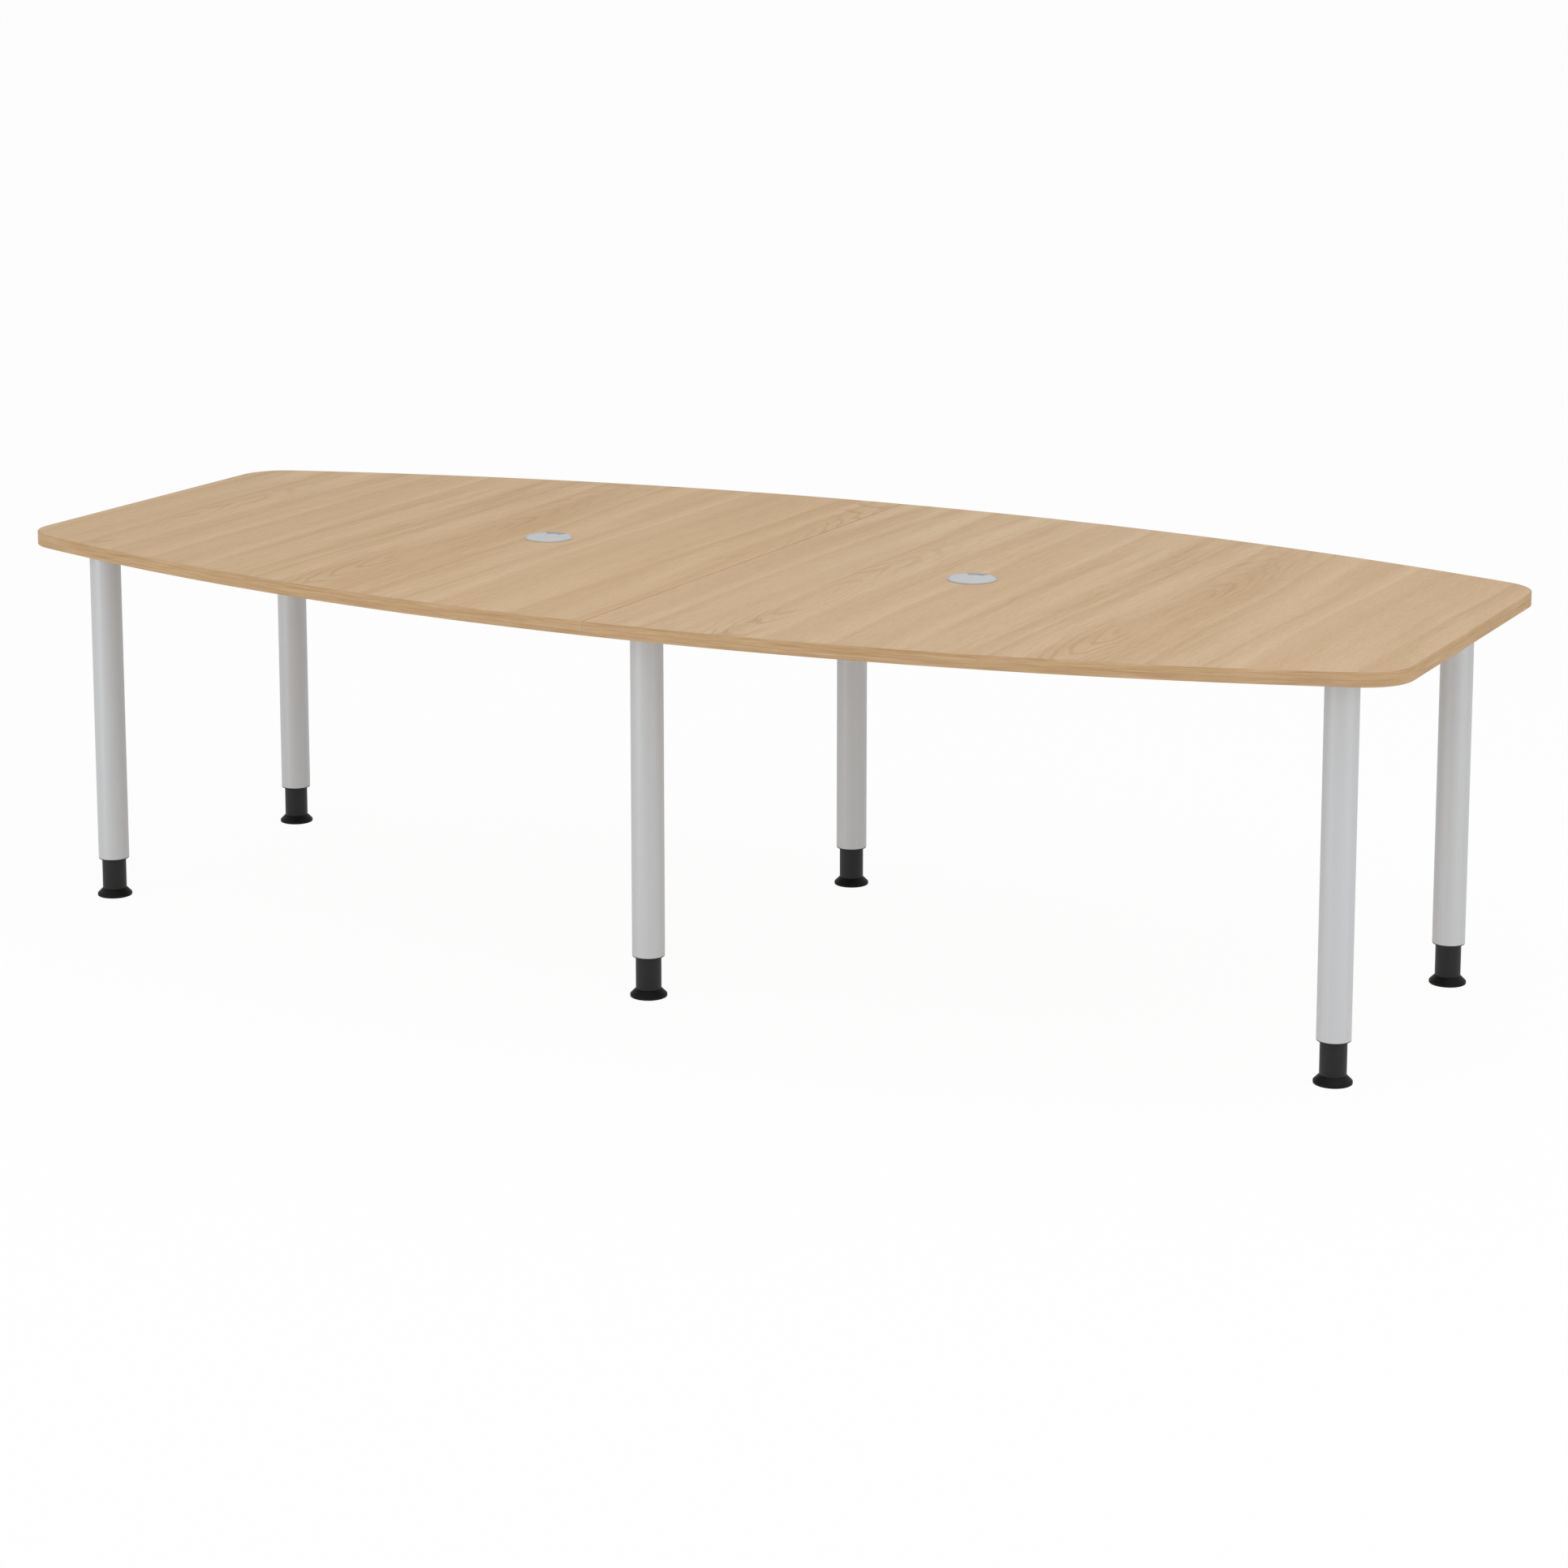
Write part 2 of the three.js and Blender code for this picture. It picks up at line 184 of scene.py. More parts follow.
class TableSizes(PropertyGroup):
    """Sizes of the top, the legs and the grommets."""

    table_length: length("Length", "From end to end of the top", CAD_BOX[1].x - CAD_BOX[0].x)
    middle_width: length(
        "Middle width", "Across the top at its middle", CAD_BOX[1].y - CAD_BOX[0].y
    )
    side_bow: length("Side bow", "How far each long side bows out", 0.250)
    corner_radius: length("Corner radius", "Radius of the top's corners", 0.095)
    band_thickness: length("Band", "Thickness of the edge band", 0.002)
    band_round: length("Band rounding", "Radius along the band's outer edges", 0.0012)
    glue_line: length("Glue line", "Between the board and its band", 0.0002)
    seam_chamfer: length("Seam edge", "Chamfer along the seam's edges", 0.0008)
    band_gap: length("Band gap", "Between the bands' ends at the seam", 0.0002)
    bore: length("Grommet bore", "Diameter of the hole for a grommet", 0.080)
    tube_wall: length("Tube wall", "Thickness of the leg tube's wall", 0.002)
    head_plate: length("Head plate", "Thickness of the leg head's plate", 0.006)
    head_spigot_wall: length("Spigot wall", "Wall of the leg head's spigot", 0.006)
    head_screw_circle: length("Screw circle", "Radius of the head's screws", 0.0425)
    screw_hole: length("Screw hole", "Diameter of a wood screw's hole", 0.0055)
    fit: length("Fit", "Clearance between pieces that fill each other", 0.0003)
    collar_thickness: length("Collar", "Thickness of the bush's collar", 0.0015)
    collar_inset: length("Collar inset", "From the tube's side to the collar's", 0.0003)
    bush_wall: length("Bush wall", "Wall of the guide bush", 0.0039)
    nut_length: length("Nut", "Length of the nut at the top of the bush", 0.025)
    nut_radius: length("Nut bore", "Radius of the nut's bore", 0.0106)
    stem_wall: length("Stem wall", "Wall of the foot's stem", 0.003)
    foot_rim: length("Foot rim", "Height of the foot's rim", 0.0045)
    foot_flare: length("Foot flare", "Height of the flare over the rim", 0.0105)
    foot_spigot: length("Foot spigot", "Radius of the foot's spigot", 0.0199)
    foot_socket: length("Foot socket", "Radius of the spindle's socket", 0.0103)
    thread_depth: length("Thread depth", "Depth of the spindle's thread", 0.0011)
    thread_pitch: length("Thread pitch", "From crest to crest of the thread", 0.004)
    flange_rim: length("Flange rim", "Width of the grommet's raised rim", 0.002)
    flange_floor: length("Flange floor", "Thickness under the cap", 0.001)
    sleeve_wall: length("Sleeve wall", "Wall of the grommet's sleeve", 0.002)
    sleeve_radius: length("Sleeve radius", "Outer radius of the sleeve", 0.0397)
    rib_width: length("Rib width", "Width of the sleeve's ribs", 0.006)
    rib_depth: length("Rib depth", "How far a rib stands into the sleeve", 0.002)
    slot_depth: length("Slot depth", "Depth of the cable slot from the rim", 0.0155)
    slot_spread: turn("Slot spread", "Angle that the cable slot takes", 56.0)
    slot_direction: turn("Slot direction", "Where the cable slot faces", 99.0)
    cap_thickness: length("Cap", "Thickness of the grommet's cap", 0.0012)
    pin_radius: length("Pin", "Radius of the cap's pin", 0.004)
    pin_head_radius: length("Pin head", "Radius of the pin's head", 0.006)
    pin_head_height: length("Pin head height", "Height of the pin's head", 0.002)
    pin_hole: length("Pin hole", "Radius of the hole in the shutter", 0.0046)
    plate_hole_inset: length("Plate holes", "From the seam plate's edges", 0.010)
    dowel_depth: length("Dowel hole", "Depth of a dowel's hole", 0.0203)


class TableColours(PropertyGroup):
    """Colours of the finishes and of the stage."""

    wood_light: colour("Light wood", "Pale stripes of the top", (0.680, 0.503, 0.320))
    wood: colour("Wood", "Most of the top", (0.595, 0.420, 0.252))
    wood_dark: colour("Dark wood", "Dark stripes of the top", (0.500, 0.328, 0.178))
    wood_line: colour("Wood lines", "Pores and growth lines", (0.375, 0.222, 0.108))
    edging: colour("Edging", "Most of the edge band", (0.500, 0.332, 0.178))
    edging_dark: colour("Edging lines", "Streaks in the band", (0.390, 0.232, 0.108))
    silver: colour("Silver paint", "Tubes and heads of the legs", (0.539, 0.547, 0.556))
    black: colour("Black plastic", "Bushes and stems", (0.0080, 0.0080, 0.0082))
    foot_black: colour("Foot black", "The flared feet", (0.0055, 0.0055, 0.0056))
    grey: colour("Grey plastic", "The grommets", (0.505, 0.520, 0.545))
    # A painted shade: dark grey for the grommets' insides, standing in for the shadow seen in the
    # cable slots
    dark_grey: colour("Dark plastic", "Inside of the grommets", (0.240, 0.242, 0.247))
    steel: colour("Zinc steel", "Screws, plates and spindles", (0.560, 0.565, 0.560))
    dowel: colour("Dowel wood", "The dowels across the seam", (0.610, 0.440, 0.270))
    floor: colour("Floor", "The stage's floor", (0.900, 0.900, 0.900))


class Shell:
    """The points and faces of one piece while it is being made."""

    def __init__(self):
        self.points = []
        self.faces = []
        self.coats = []
        self.coat = 0

    def face(self, numbers):
        """Adds a face in the coat that is in use, counted among the finishes."""
        self.faces.append(tuple(numbers))
        self.coats.append(self.coat)

    def loop(self, points):
        """Adds a row of points and returns their numbers."""
        first = len(self.points)
        self.points.extend(Vector(point) for point in points)
        return list(range(first, len(self.points)))

    def ring(self, radius, height, steps=ROUND_STEPS):
        """Adds a circle about Z, or one point where the radius is nothing."""
        if radius < 1e-9:
            return self.loop([(0.0, 0.0, height)])
        return self.loop((x, y, height) for x, y in circle(radius, steps))

    def skin(self, one, two, closed=True):
        """Joins two rows with a strip of faces. A row of one point is a tip."""
        if len(one) == 1:
            one = one * len(two)
        if len(two) == 1:
            two = two * len(one)
        if len(one) != len(two):
            raise ValueError("two rows that are joined need as many points")
        count = len(one)
        for i in range(count if closed else count - 1):
            j = (i + 1) % count
            self.face(dict.fromkeys((one[i], one[j], two[j], two[i])))

    def skins(self, rows, closed=True, round_about=False):
        """Joins each row to the next, and the last to the first if asked."""
        for one, two in zip(rows, rows[1:]):
            self.skin(one, two, closed)
        if round_about:
            self.skin(rows[-1], rows[0], closed)

    def cap(self, row):
        """Closes a row of points with one face."""
        self.face(row)

    def sheet(self, rims, flat):
        """Fills the first rim, and leaves the other rims open as holes."""
        numbers = [number for rim in rims for number in rim]
        spots = [Vector(flat(self.points[number])) for number in numbers]
        faces = []
        first = 0
        for rim in rims:
            faces.append(list(range(first, first + len(rim))))
            first += len(rim)
        made = delaunay_2d_cdt(spots, [], faces, INSIDE_BUT_NOT_IN_HOLES, 1e-8)
        origins = [numbers[found[0]] for found in made[3]]
        for face in made[2]:
            self.face(origins[i] for i in face)

    def turned(self, profile, steps=ROUND_STEPS, ring_shaped=False):
        """Turns a profile of (radius, height) pairs about Z."""
        rows = [self.ring(radius, height, steps) for radius, height in profile]
        self.skins(rows, round_about=ring_shaped)

    def prism(self, outline_at, low, high, soft, holes=()):
        """Stands an outline up between two heights, with softened edges."""
        levels = ((soft, low), (0.0, low + soft), (0.0, high - soft), (soft, high))
        rows = [
            self.loop((x, y, height) for x, y in outline_at(inset))
            for inset, height in levels
        ]
        self.skins(rows)
        low_holes = []
        high_holes = []
        for hole in holes:
            low_holes.append(self.loop((x, y, low) for x, y in hole))
            high_holes.append(self.loop((x, y, high) for x, y in hole))
            self.skin(low_holes[-1], high_holes[-1])
        self.sheet([rows[0], *low_holes], from_above)
        self.sheet([rows[-1], *high_holes], from_above)

    def move(self, matrix):
        """Turns or shifts all that has been made so far."""
        self.points = [matrix @ point for point in self.points]

    def mesh(self, name, *finishes):
        """The finished mesh, closed, facing out and smooth, with its finishes."""
        work = bmesh.new()
        points = [work.verts.new(point) for point in self.points]
        for numbers, coat in zip(self.faces, self.coats):
            face = work.faces.new([points[i] for i in numbers])
            face.material_index = coat
        unused = [point for point in work.verts if not point.link_faces]
        bmesh.ops.delete(work, geom=unused, context="VERTS")
        bmesh.ops.recalc_face_normals(work, faces=work.faces)
        made = bpy.data.meshes.new(name)
        work.to_mesh(made)
        work.free()
        made.shade_smooth()
        made.set_sharp_from_angle(angle=SHARP_ANGLE)
        for finish in finishes:
            made.materials.append(finish_for(finish))
        return made


def from_above(point):
    return point.xy


def from_the_side(point):
    return point.yz


def circle(radius, steps=ROUND_STEPS, centre=(0.0, 0.0)):
    """Points round a circle. The middle of the first patch faces +X."""
    angles = [FULL_TURN * (i - PATCH_STEPS / 2) / steps for i in range(steps)]
    return [
        (centre[0] + radius * math.cos(a), centre[1] + radius * math.sin(a))
        for a in angles
    ]


def arc(centre, radius, first, last, steps):
    """Points along an arc, with both its ends."""
    angles = [first + (last - first) * i / steps for i in range(steps + 1)]
    return [
        (centre[0] + radius * math.cos(a), centre[1] + radius * math.sin(a))
        for a in angles
    ]


def soften(corners, radius, closed=True):
    """Rounds the corners of a flat path."""
    path = []
    count = len(corners)
    for i, corner in enumerate(corners):
        here = Vector(corner)
        if not closed and i in (0, count - 1):
            path.append(tuple(here))
            continue
        before = Vector(corners[i - 1]) - here
        after = Vector(corners[(i + 1) % count]) - here
        reach = radius / math.tan(before.angle(after) / 2)
        reach = min(reach, SOFT_SHARE * before.length, SOFT_SHARE * after.length)
        start = here + before.normalized() * reach
        end = here + after.normalized() * reach
        for step in range(SOFT_STEPS + 1):
            t = step / SOFT_STEPS
            point = start * (1 - t) ** 2 + here * 2 * t * (1 - t) + end * t ** 2
            path.append(tuple(point))
    return path


def spread(count, reach):
    """Places spread evenly from -reach to +reach."""
    return [reach * (2 * i / (count - 1) - 1) for i in range(count)]


def place_piece(name, mesh, body, nodes=(), place=(0, 0, 0), turned=(0, 0, 0)):
    """Puts a finished mesh on the frame."""
    piece = bpy.data.objects.new(name, mesh)
    bpy.context.scene.collection.objects.link(piece)
    piece.location = place
    piece.rotation_euler = turned
    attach(piece, body)
    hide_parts(*nodes)
    return piece


def leg_place(place):
    """Where a leg's axis meets the floor."""
    centre = middle(f"leg_tube_{place}")
    return (centre.x, centre.y, 0.0)


def leg_turn(place):
    """The way that a leg's set screw faces."""
    out = middle(f"set_screw_{place}") - middle(f"leg_tube_{place}")
    return (0.0, 0.0, math.atan2(out.y, out.x))


def grommet_place(side):
    """Where a grommet's axis meets the floor."""
    centre = middle(f"grommet_sleeve_{side}")
    return (centre.x, centre.y, 0.0)


def place_on_legs(name, mesh, node, body=None, facing=False):
    """Puts a mesh on each leg's axis, turned to the leg's set screw if asked."""
    for place in PLACES:
        place_piece(
            f"{name}_{place}",
            mesh,
            f"{body}_{place}" if body else "table",
            [f"{node}_{place}"],
            leg_place(place),
            leg_turn(place) if facing else (0, 0, 0),
        )


def place_in_grommets(name, mesh, node, body=None):
    """Puts a mesh on each grommet's axis."""
    for side in SIDES:
        rides = f"{body}_{side}" if body else "table"
        place_piece(
            f"{name}_{side}", mesh, rides, [f"{node}_{side}"], grommet_place(side)
        )


def place_at_seam(name, mesh, node, count):
    """Puts a mesh at the middle of each of a few numbered CAD nodes."""
    for number in range(1, count + 1):
        each = f"{node}_{number}"
        place_piece(f"{name}_{number}", mesh, "table", [each], middle(each))


def half_outline(sizes, inset, seam):
    """The right half's outline from the front end of the seam to its back end.

    Each long side is one arc, and the corners run into it and into the straight end.
    """
    half_length = sizes.table_length / 2
    bow = sizes.side_bow
    radius = (half_length ** 2 + bow ** 2) / (2 * bow)
    centre = sizes.middle_width / 2 - radius
    corner_x = half_length - sizes.corner_radius
    room = (radius - sizes.corner_radius) ** 2 - corner_x ** 2
    if room <= 0:
        raise ValueError("the corners don't fit between the long sides")
    corner_y = centre + math.sqrt(room)
    corner = math.atan2(corner_y - centre, corner_x)
    start = math.acos(seam / (radius - inset))
    side = radius - inset
    round_off = sizes.corner_radius - inset
    front = arc((0, -centre), side, -start, -corner, SIDE_STEPS)
    front_corner = arc((corner_x, -corner_y), round_off, -corner, 0, CORNER_STEPS)
    back_corner = arc((corner_x, corner_y), round_off, 0, corner, CORNER_STEPS)
    back = arc((0, centre), side, corner, start, SIDE_STEPS)
    return [*front, *front_corner[1:], *back_corner, *back[1:]]


def slotted_outline(sizes, radius, slot_floor):
    """A disc's outline with the cable slot cut out of its rim, for any inset."""
    half = sizes.slot_spread / 2
    facing = sizes.slot_direction

    def outline(inset):
        rim = radius - inset
        floor = slot_floor - inset
        at_rim = half + math.asin(inset / rim)
        at_floor = half + math.asin(inset / floor)
        rim_arc = arc((0, 0), rim, facing + at_rim, facing + FULL_TURN - at_rim, ROUND_STEPS)
        floor_arc = arc((0, 0), floor, facing - at_floor, facing + at_floor, CORNER_STEPS)
        return [*rim_arc, *floor_arc]

    return outline


def pierced_wall(shell, radius, low, high, hole_height, hole_radius):
    """A round wall with a hole drilled through its +X side.

    Returns its lowest row, its highest row and the rim of the hole.
    """
    pitch = radius * FULL_TURN / ROUND_STEPS
    patch = [hole_height + pitch * (i - PATCH_STEPS / 2) for i in range(PATCH_STEPS + 1)]
    heights = [low, *patch, high]
    rows = [shell.ring(radius, height) for height in heights]
    for i, (one, two) in enumerate(zip(rows, rows[1:])):
        if 1 <= i <= PATCH_STEPS:
            shell.skin([*one[PATCH_STEPS:], one[0]], [*two[PATCH_STEPS:], two[0]], False)
        else:
            shell.skin(one, two)
    low_row = rows[1]
    high_row = rows[PATCH_STEPS + 1]
    edge = [
        *low_row[:PATCH_STEPS],
        *(row[PATCH_STEPS] for row in rows[1:PATCH_STEPS + 1]),
        *(high_row[PATCH_STEPS - i] for i in range(PATCH_STEPS)),
        *(rows[PATCH_STEPS + 1 - i][0] for i in range(PATCH_STEPS)),
    ]
    rim = []
    for number in edge:
        point = shell.points[number]
        angle = math.atan2(point.z - hole_height, point.y)
        y = hole_radius * math.cos(angle)
        x = math.sqrt(radius ** 2 - y ** 2)
        rim.append((x, y, hole_height + hole_radius * math.sin(angle)))
    rim = shell.loop(rim)
    shell.skin(edge, rim)
    return rows[0], rows[-1], rim


def set_screw_hole(sizes):
    """Height and radius of the hole for a leg's set screw."""
    node = "set_screw_front_left"
    return middle(node).z, span(node).y / 2 + sizes.fit


def add_node(tree, kind, sockets=None, **settings):
    """Adds a shader node, sets its options, and sets or links its sockets."""
    node = tree.nodes.new(kind)
    for name, value in settings.items():
        setattr(node, name, value)
    set_sockets(tree, node, sockets or {})
    return node


def set_sockets(tree, node, sockets):
    """Links each socket that is given another socket, and sets the others."""
    for key, value in sockets.items():
        if isinstance(value, NodeSocket):
            tree.links.new(value, node.inputs[key])
        else:
            node.inputs[key].default_value = value


def maths(tree, operation, *values):
    """A sum of numbers or sockets."""
    node = add_node(tree, "ShaderNodeMath", dict(enumerate(values)), operation=operation)
    return node.outputs[0]


def start_finish(name):
    """A new material with an empty shader in it."""
    finish = bpy.data.materials.new(name)
    finish.use_nodes = True
    tree = finish.node_tree
    tree.nodes.clear()
    shader = add_node(tree, "ShaderNodeBsdfPrincipled")
    add_node(tree, "ShaderNodeOutputMaterial", {"Surface": shader.outputs["BSDF"]})
    return finish, tree, shader


def own_place(tree):
    """The piece's own coordinates, in metres."""
    return add_node(tree, "ShaderNodeTexCoord").outputs["Object"]


def grain(tree, place, scale, detail=2.0, roughness=0.5, distortion=0.0):
    """Noise stretched along an axis by a smaller scale there."""
    stretched = add_node(tree, "ShaderNodeMapping", {"Vector": place, "Scale": scale})
    noise = add_node(
        tree,
        "ShaderNodeTexNoise",
        {
            "Vector": stretched.outputs[0],
            "Scale": 1.0,
            "Detail": detail,
            "Roughness": roughness,
            "Distortion": distortion,
        },
    )
    return noise.outputs["Fac"]


def between(tree, value, low, high, to_low=0.0, to_high=1.0):
    """Maps a stretch of a value to another one, softly."""
    node = add_node(
        tree,
        "ShaderNodeMapRange",
        {0: value, 1: low, 2: high, 3: to_low, 4: to_high},
        interpolation_type="SMOOTHSTEP",
    )
    return node.outputs[0]


def pile_up(tree, base, layers):
    """Adds patterns to a base value, each by its weight and about its middle."""
    total = base - sum(weight / 2 for _, weight in layers)
    for pattern, weight in layers:
        total = maths(tree, "MULTIPLY_ADD", pattern, weight, total)
    return total


def ramp(tree, value, stops):
    """Colours along a value."""
    node = add_node(tree, "ShaderNodeValToRGB", {0: value})
    band = node.color_ramp
    while len(band.elements) < len(stops):
        band.elements.new(0.5)
    for element, (position, shade) in zip(band.elements, stops):
        element.position = position
        element.color = (*shade, 1.0)
    return node.outputs[0]


def over(tree, share, under, upper):
    """Lays one colour over another by a share."""
    node = add_node(tree, "ShaderNodeMix", data_type="RGBA")
    sockets = {"Factor_Float": share, "A_Color": under, "B_Color": upper}
    for socket in node.inputs:
        value = sockets.get(socket.identifier)
        if value is None:
            continue
        if isinstance(value, NodeSocket):
            tree.links.new(value, socket)
        elif isinstance(value, float):
            socket.default_value = value
        else:
            socket.default_value = (*value, 1.0)
    return next(s for s in node.outputs if s.identifier == "Result_Color")


def mottled(tree, value, shade, dark, pale, end=0.1):
    """A colour that goes darker and paler with a value, by these shares."""
    low = [dark * part for part in shade]
    high = [min(1.0, pale * part) for part in shade]
    return ramp(tree, value, ((end, low), (1.0 - end, high)))


def bump(tree, height, depth):
    """A surface that rises and falls by a depth in metres."""
    node = add_node(tree, "ShaderNodeBump", {"Height": height, "Distance": depth})
    return node.outputs[0]


def wood_decor(name, colours, shift, painted_sheen_tint):
    """Wood-grain facing, with its grain across the table.

    Broad stripes with one sharp side, streaks, strands, fibres, pores and a few faint
    growth lines in long arches.
    """
    finish, tree, shader = start_finish(name)
    place = add_node(
        tree, "ShaderNodeVectorMath", {0: own_place(tree), 1: shift}, operation="ADD"
    ).outputs[0]
    parts = add_node(tree, "ShaderNodeSeparateXYZ", {0: place})
    wander = grain(tree, place, (2.2, 1.1, 1.0), detail=1.0)
    across = maths(tree, "MULTIPLY_ADD", wander, 0.07, parts.outputs["X"])
    bent = add_node(
        tree,
        "ShaderNodeCombineXYZ",
        {0: across, 1: parts.outputs["Y"], 2: parts.outputs["Z"]},
    ).outputs[0]
    stripes = grain(tree, bent, (9.0, 0.45, 1.0), detail=1.5, roughness=0.45)
    streaks = grain(tree, bent, (34.0, 1.8, 1.0), detail=2.5)
    strands = grain(tree, bent, (120.0, 7.0, 1.0), detail=2.0)
    fibres = grain(tree, bent, (380.0, 20.0, 1.0), detail=2.5, roughness=0.6)
    specks = grain(tree, bent, (1100.0, 45.0, 1.0), detail=1.0)

    # Stripes that darken slowly and end at once
    beat = maths(tree, "MULTIPLY", across, 8.5)
    phase = maths(tree, "FRACT", maths(tree, "MULTIPLY_ADD", stripes, 2.2, beat))
    edges = maths(tree, "MULTIPLY", phase, between(tree, phase, 0.82, 1.0, 1.0, 0.0))

    # Growth lines: long arches about lines that repeat along the table
    repeat = 0.58
    from_line = maths(tree, "WRAP", across, repeat / 2, -repeat / 2)
    ripple = grain(tree, place, (11.0, 3.0, 1.0), detail=3.0)
    arch = add_node(
        tree,
        "ShaderNodeCombineXYZ",
        {0: from_line, 1: maths(tree, "MULTIPLY_ADD", parts.outputs["Y"], 0.13, 0.03), 2: 0.0},
    )
    reach = add_node(
        tree, "ShaderNodeVectorMath", {0: arch.outputs[0]}, operation="LENGTH"
    ).outputs["Value"]
    rippled = maths(tree, "MULTIPLY_ADD", ripple, 0.06, reach)
    waves = maths(tree, "SINE", maths(tree, "MULTIPLY", rippled, 520.0))
    lines = between(tree, waves, 0.2, 1.0)
    near = between(tree, maths(tree, "ABSOLUTE", from_line), 0.015, 0.110, 1.0, 0.0)
    patchy = between(tree, grain(tree, place, (7.0, 2.6, 1.0)), 0.44, 0.66)
    growth = maths(tree, "MULTIPLY", lines, maths(tree, "MULTIPLY", near, patchy))

    # Some stretches are busy and some are calm
    busy = between(tree, grain(tree, place, (3.4, 1.1, 1.0), detail=1.0), 0.36, 0.64, 0.25, 1.0)
    lively = pile_up(tree, 0.0, ((streaks, 0.62), (strands, 0.36)))
    calm = pile_up(tree, 0.5, ((stripes, 0.40), (edges, 0.24), (fibres, 0.50)))
    tone = maths(tree, "MULTIPLY_ADD", lively, busy, calm)
    # The tint scales the wood colours: on the right half it is a painted sheen, paler and cooler,
    # as if lit from the right
    dark, plain, pale = (
        [part * share for part, share in zip(shade, painted_sheen_tint)]
        for shade in (colours.wood_dark, colours.wood, colours.wood_light)
    )
    shade = ramp(tree, tone, ((0.20, dark), (0.52, plain), (0.84, pale)))
    pores = between(tree, specks, 0.56, 0.72)
    pore_share = maths(tree, "MULTIPLY", pores, 0.34)
    line_share = maths(tree, "MULTIPLY", growth, 0.40)
    marks = maths(tree, "MAXIMUM", pore_share, line_share)
    set_sockets(
        tree,
        shader,
        {
            "Base Color": over(tree, marks, shade, colours.wood_line),
            "Roughness": between(tree, fibres, 0.2, 0.8, 0.58, 0.68),
            "Normal": bump(tree, maths(tree, "SUBTRACT", fibres, pores), 0.00006),
            "Specular IOR Level": 0.15,
        },
    )
    return finish


def edge_streaks(name, dark, plain, pale):
    """Edge band with wood streaks that run along it."""
    finish, tree, shader = start_finish(name)
    place = own_place(tree)
    broad = grain(tree, place, (5.0, 5.0, 170.0), detail=2.0)
    fine = grain(tree, place, (14.0, 14.0, 560.0), detail=2.0)
    specks = grain(tree, place, (60.0, 60.0, 1500.0), detail=1.0)
    tone = pile_up(tree, 0.5, ((broad, 0.6), (fine, 1.0)))
    shade = ramp(tree, tone, ((0.18, dark), (0.52, plain), (0.86, pale)))
    pores = maths(tree, "MULTIPLY", between(tree, specks, 0.56, 0.72), 0.36)
    set_sockets(
        tree,
        shader,
        {
            "Base Color": over(tree, pores, shade, dark),
            "Roughness": between(tree, fine, 0.2, 0.8, 0.54, 0.64),
            "Normal": bump(tree, fine, 0.00005),
            "Specular IOR Level": 0.20,
        },
    )
    return finish


def satin_silver(name, shade):
    """Satin silver coat with fine flake, drawn lines and a slight orange peel."""
    finish, tree, shader = start_finish(name)
    place = own_place(tree)
    flake = grain(tree, place, (2600.0,) * 3, detail=1.0)
    peel = grain(tree, place, (420.0,) * 3, detail=2.0)
    drawn = grain(tree, place, (260.0, 260.0, 1.2), detail=2.0)
    tone = pile_up(tree, 0.5, ((flake, 0.5), (drawn, 0.6)))
    set_sockets(
        tree,
        shader,
        {
            "Base Color": mottled(tree, tone, shade, 0.95, 1.05),
            "Metallic": 0.30,
            "Roughness": between(tree, flake, 0.2, 0.8, 0.42, 0.52),
            "Normal": bump(tree, peel, 0.00003),
        },
    )
    return finish


def moulded_plastic(name, shade, scuff, scuff_height, shine):
    """Moulded plastic with a fine spark texture, scuffed near its lower edge."""
    finish, tree, shader = start_finish(name)
    place = own_place(tree)
    spark = grain(tree, place, (1500.0,) * 3, detail=2.0, roughness=0.6)
    cloud = grain(tree, place, (60.0,) * 3, detail=2.0)
    marks = grain(tree, place, (160.0, 160.0, 700.0), detail=3.0, roughness=0.65)
    tone = pile_up(tree, 0.5, ((spark, 0.5), (cloud, 0.5)))
    plain = mottled(tree, tone, shade, 0.88, 1.12)
    height = add_node(tree, "ShaderNodeSeparateXYZ", {0: place}).outputs["Z"]
    low = between(tree, height, scuff_height / 3, scuff_height, 1.0, 0.0)
    worn = maths(tree, "MULTIPLY", between(tree, marks, 0.56, 0.72), low)
    set_sockets(
        tree,
        shader,
        {
            "Base Color": over(tree, maths(tree, "MULTIPLY", worn, 0.5), plain, scuff),
            "Roughness": between(tree, spark, 0.2, 0.8, 0.48, 0.62),
            "Normal": bump(tree, spark, 0.00003),
            "Specular IOR Level": shine,
        },
    )
    return finish


def zinc_steel(name, shade):
    """Zinc-plated steel with a faint brushed grain."""
    finish, tree, shader = start_finish(name)
    place = own_place(tree)
    brushed = grain(tree, place, (1800.0, 1800.0, 90.0), detail=2.0)
    cloud = grain(tree, place, (70.0,) * 3, detail=2.0)
    tone = pile_up(tree, 0.5, ((brushed, 0.5), (cloud, 0.5)))
    set_sockets(
        tree,
        shader,
        {
            "Base Color": mottled(tree, tone, shade, 0.84, 1.14),
            "Metallic": 1.0,
            "Roughness": between(tree, cloud, 0.2, 0.8, 0.28, 0.42),
            "Normal": bump(tree, brushed, 0.00002),
        },
    )
    return finish


def bare_beech(name, shade):
    """Plain close-grained wood with its grain along the dowel."""
    finish, tree, shader = start_finish(name)
    place = own_place(tree)
    fibres = grain(tree, place, (40.0, 900.0, 900.0), detail=2.0)
    set_sockets(
        tree,
        shader,
        {
            "Base Color": mottled(tree, fibres, shade, 0.80, 1.0, end=0.25),
            "Roughness": between(tree, fibres, 0.2, 0.8, 0.70, 0.85),
            "Normal": bump(tree, fibres, 0.00008),
        },
    )
    return finish


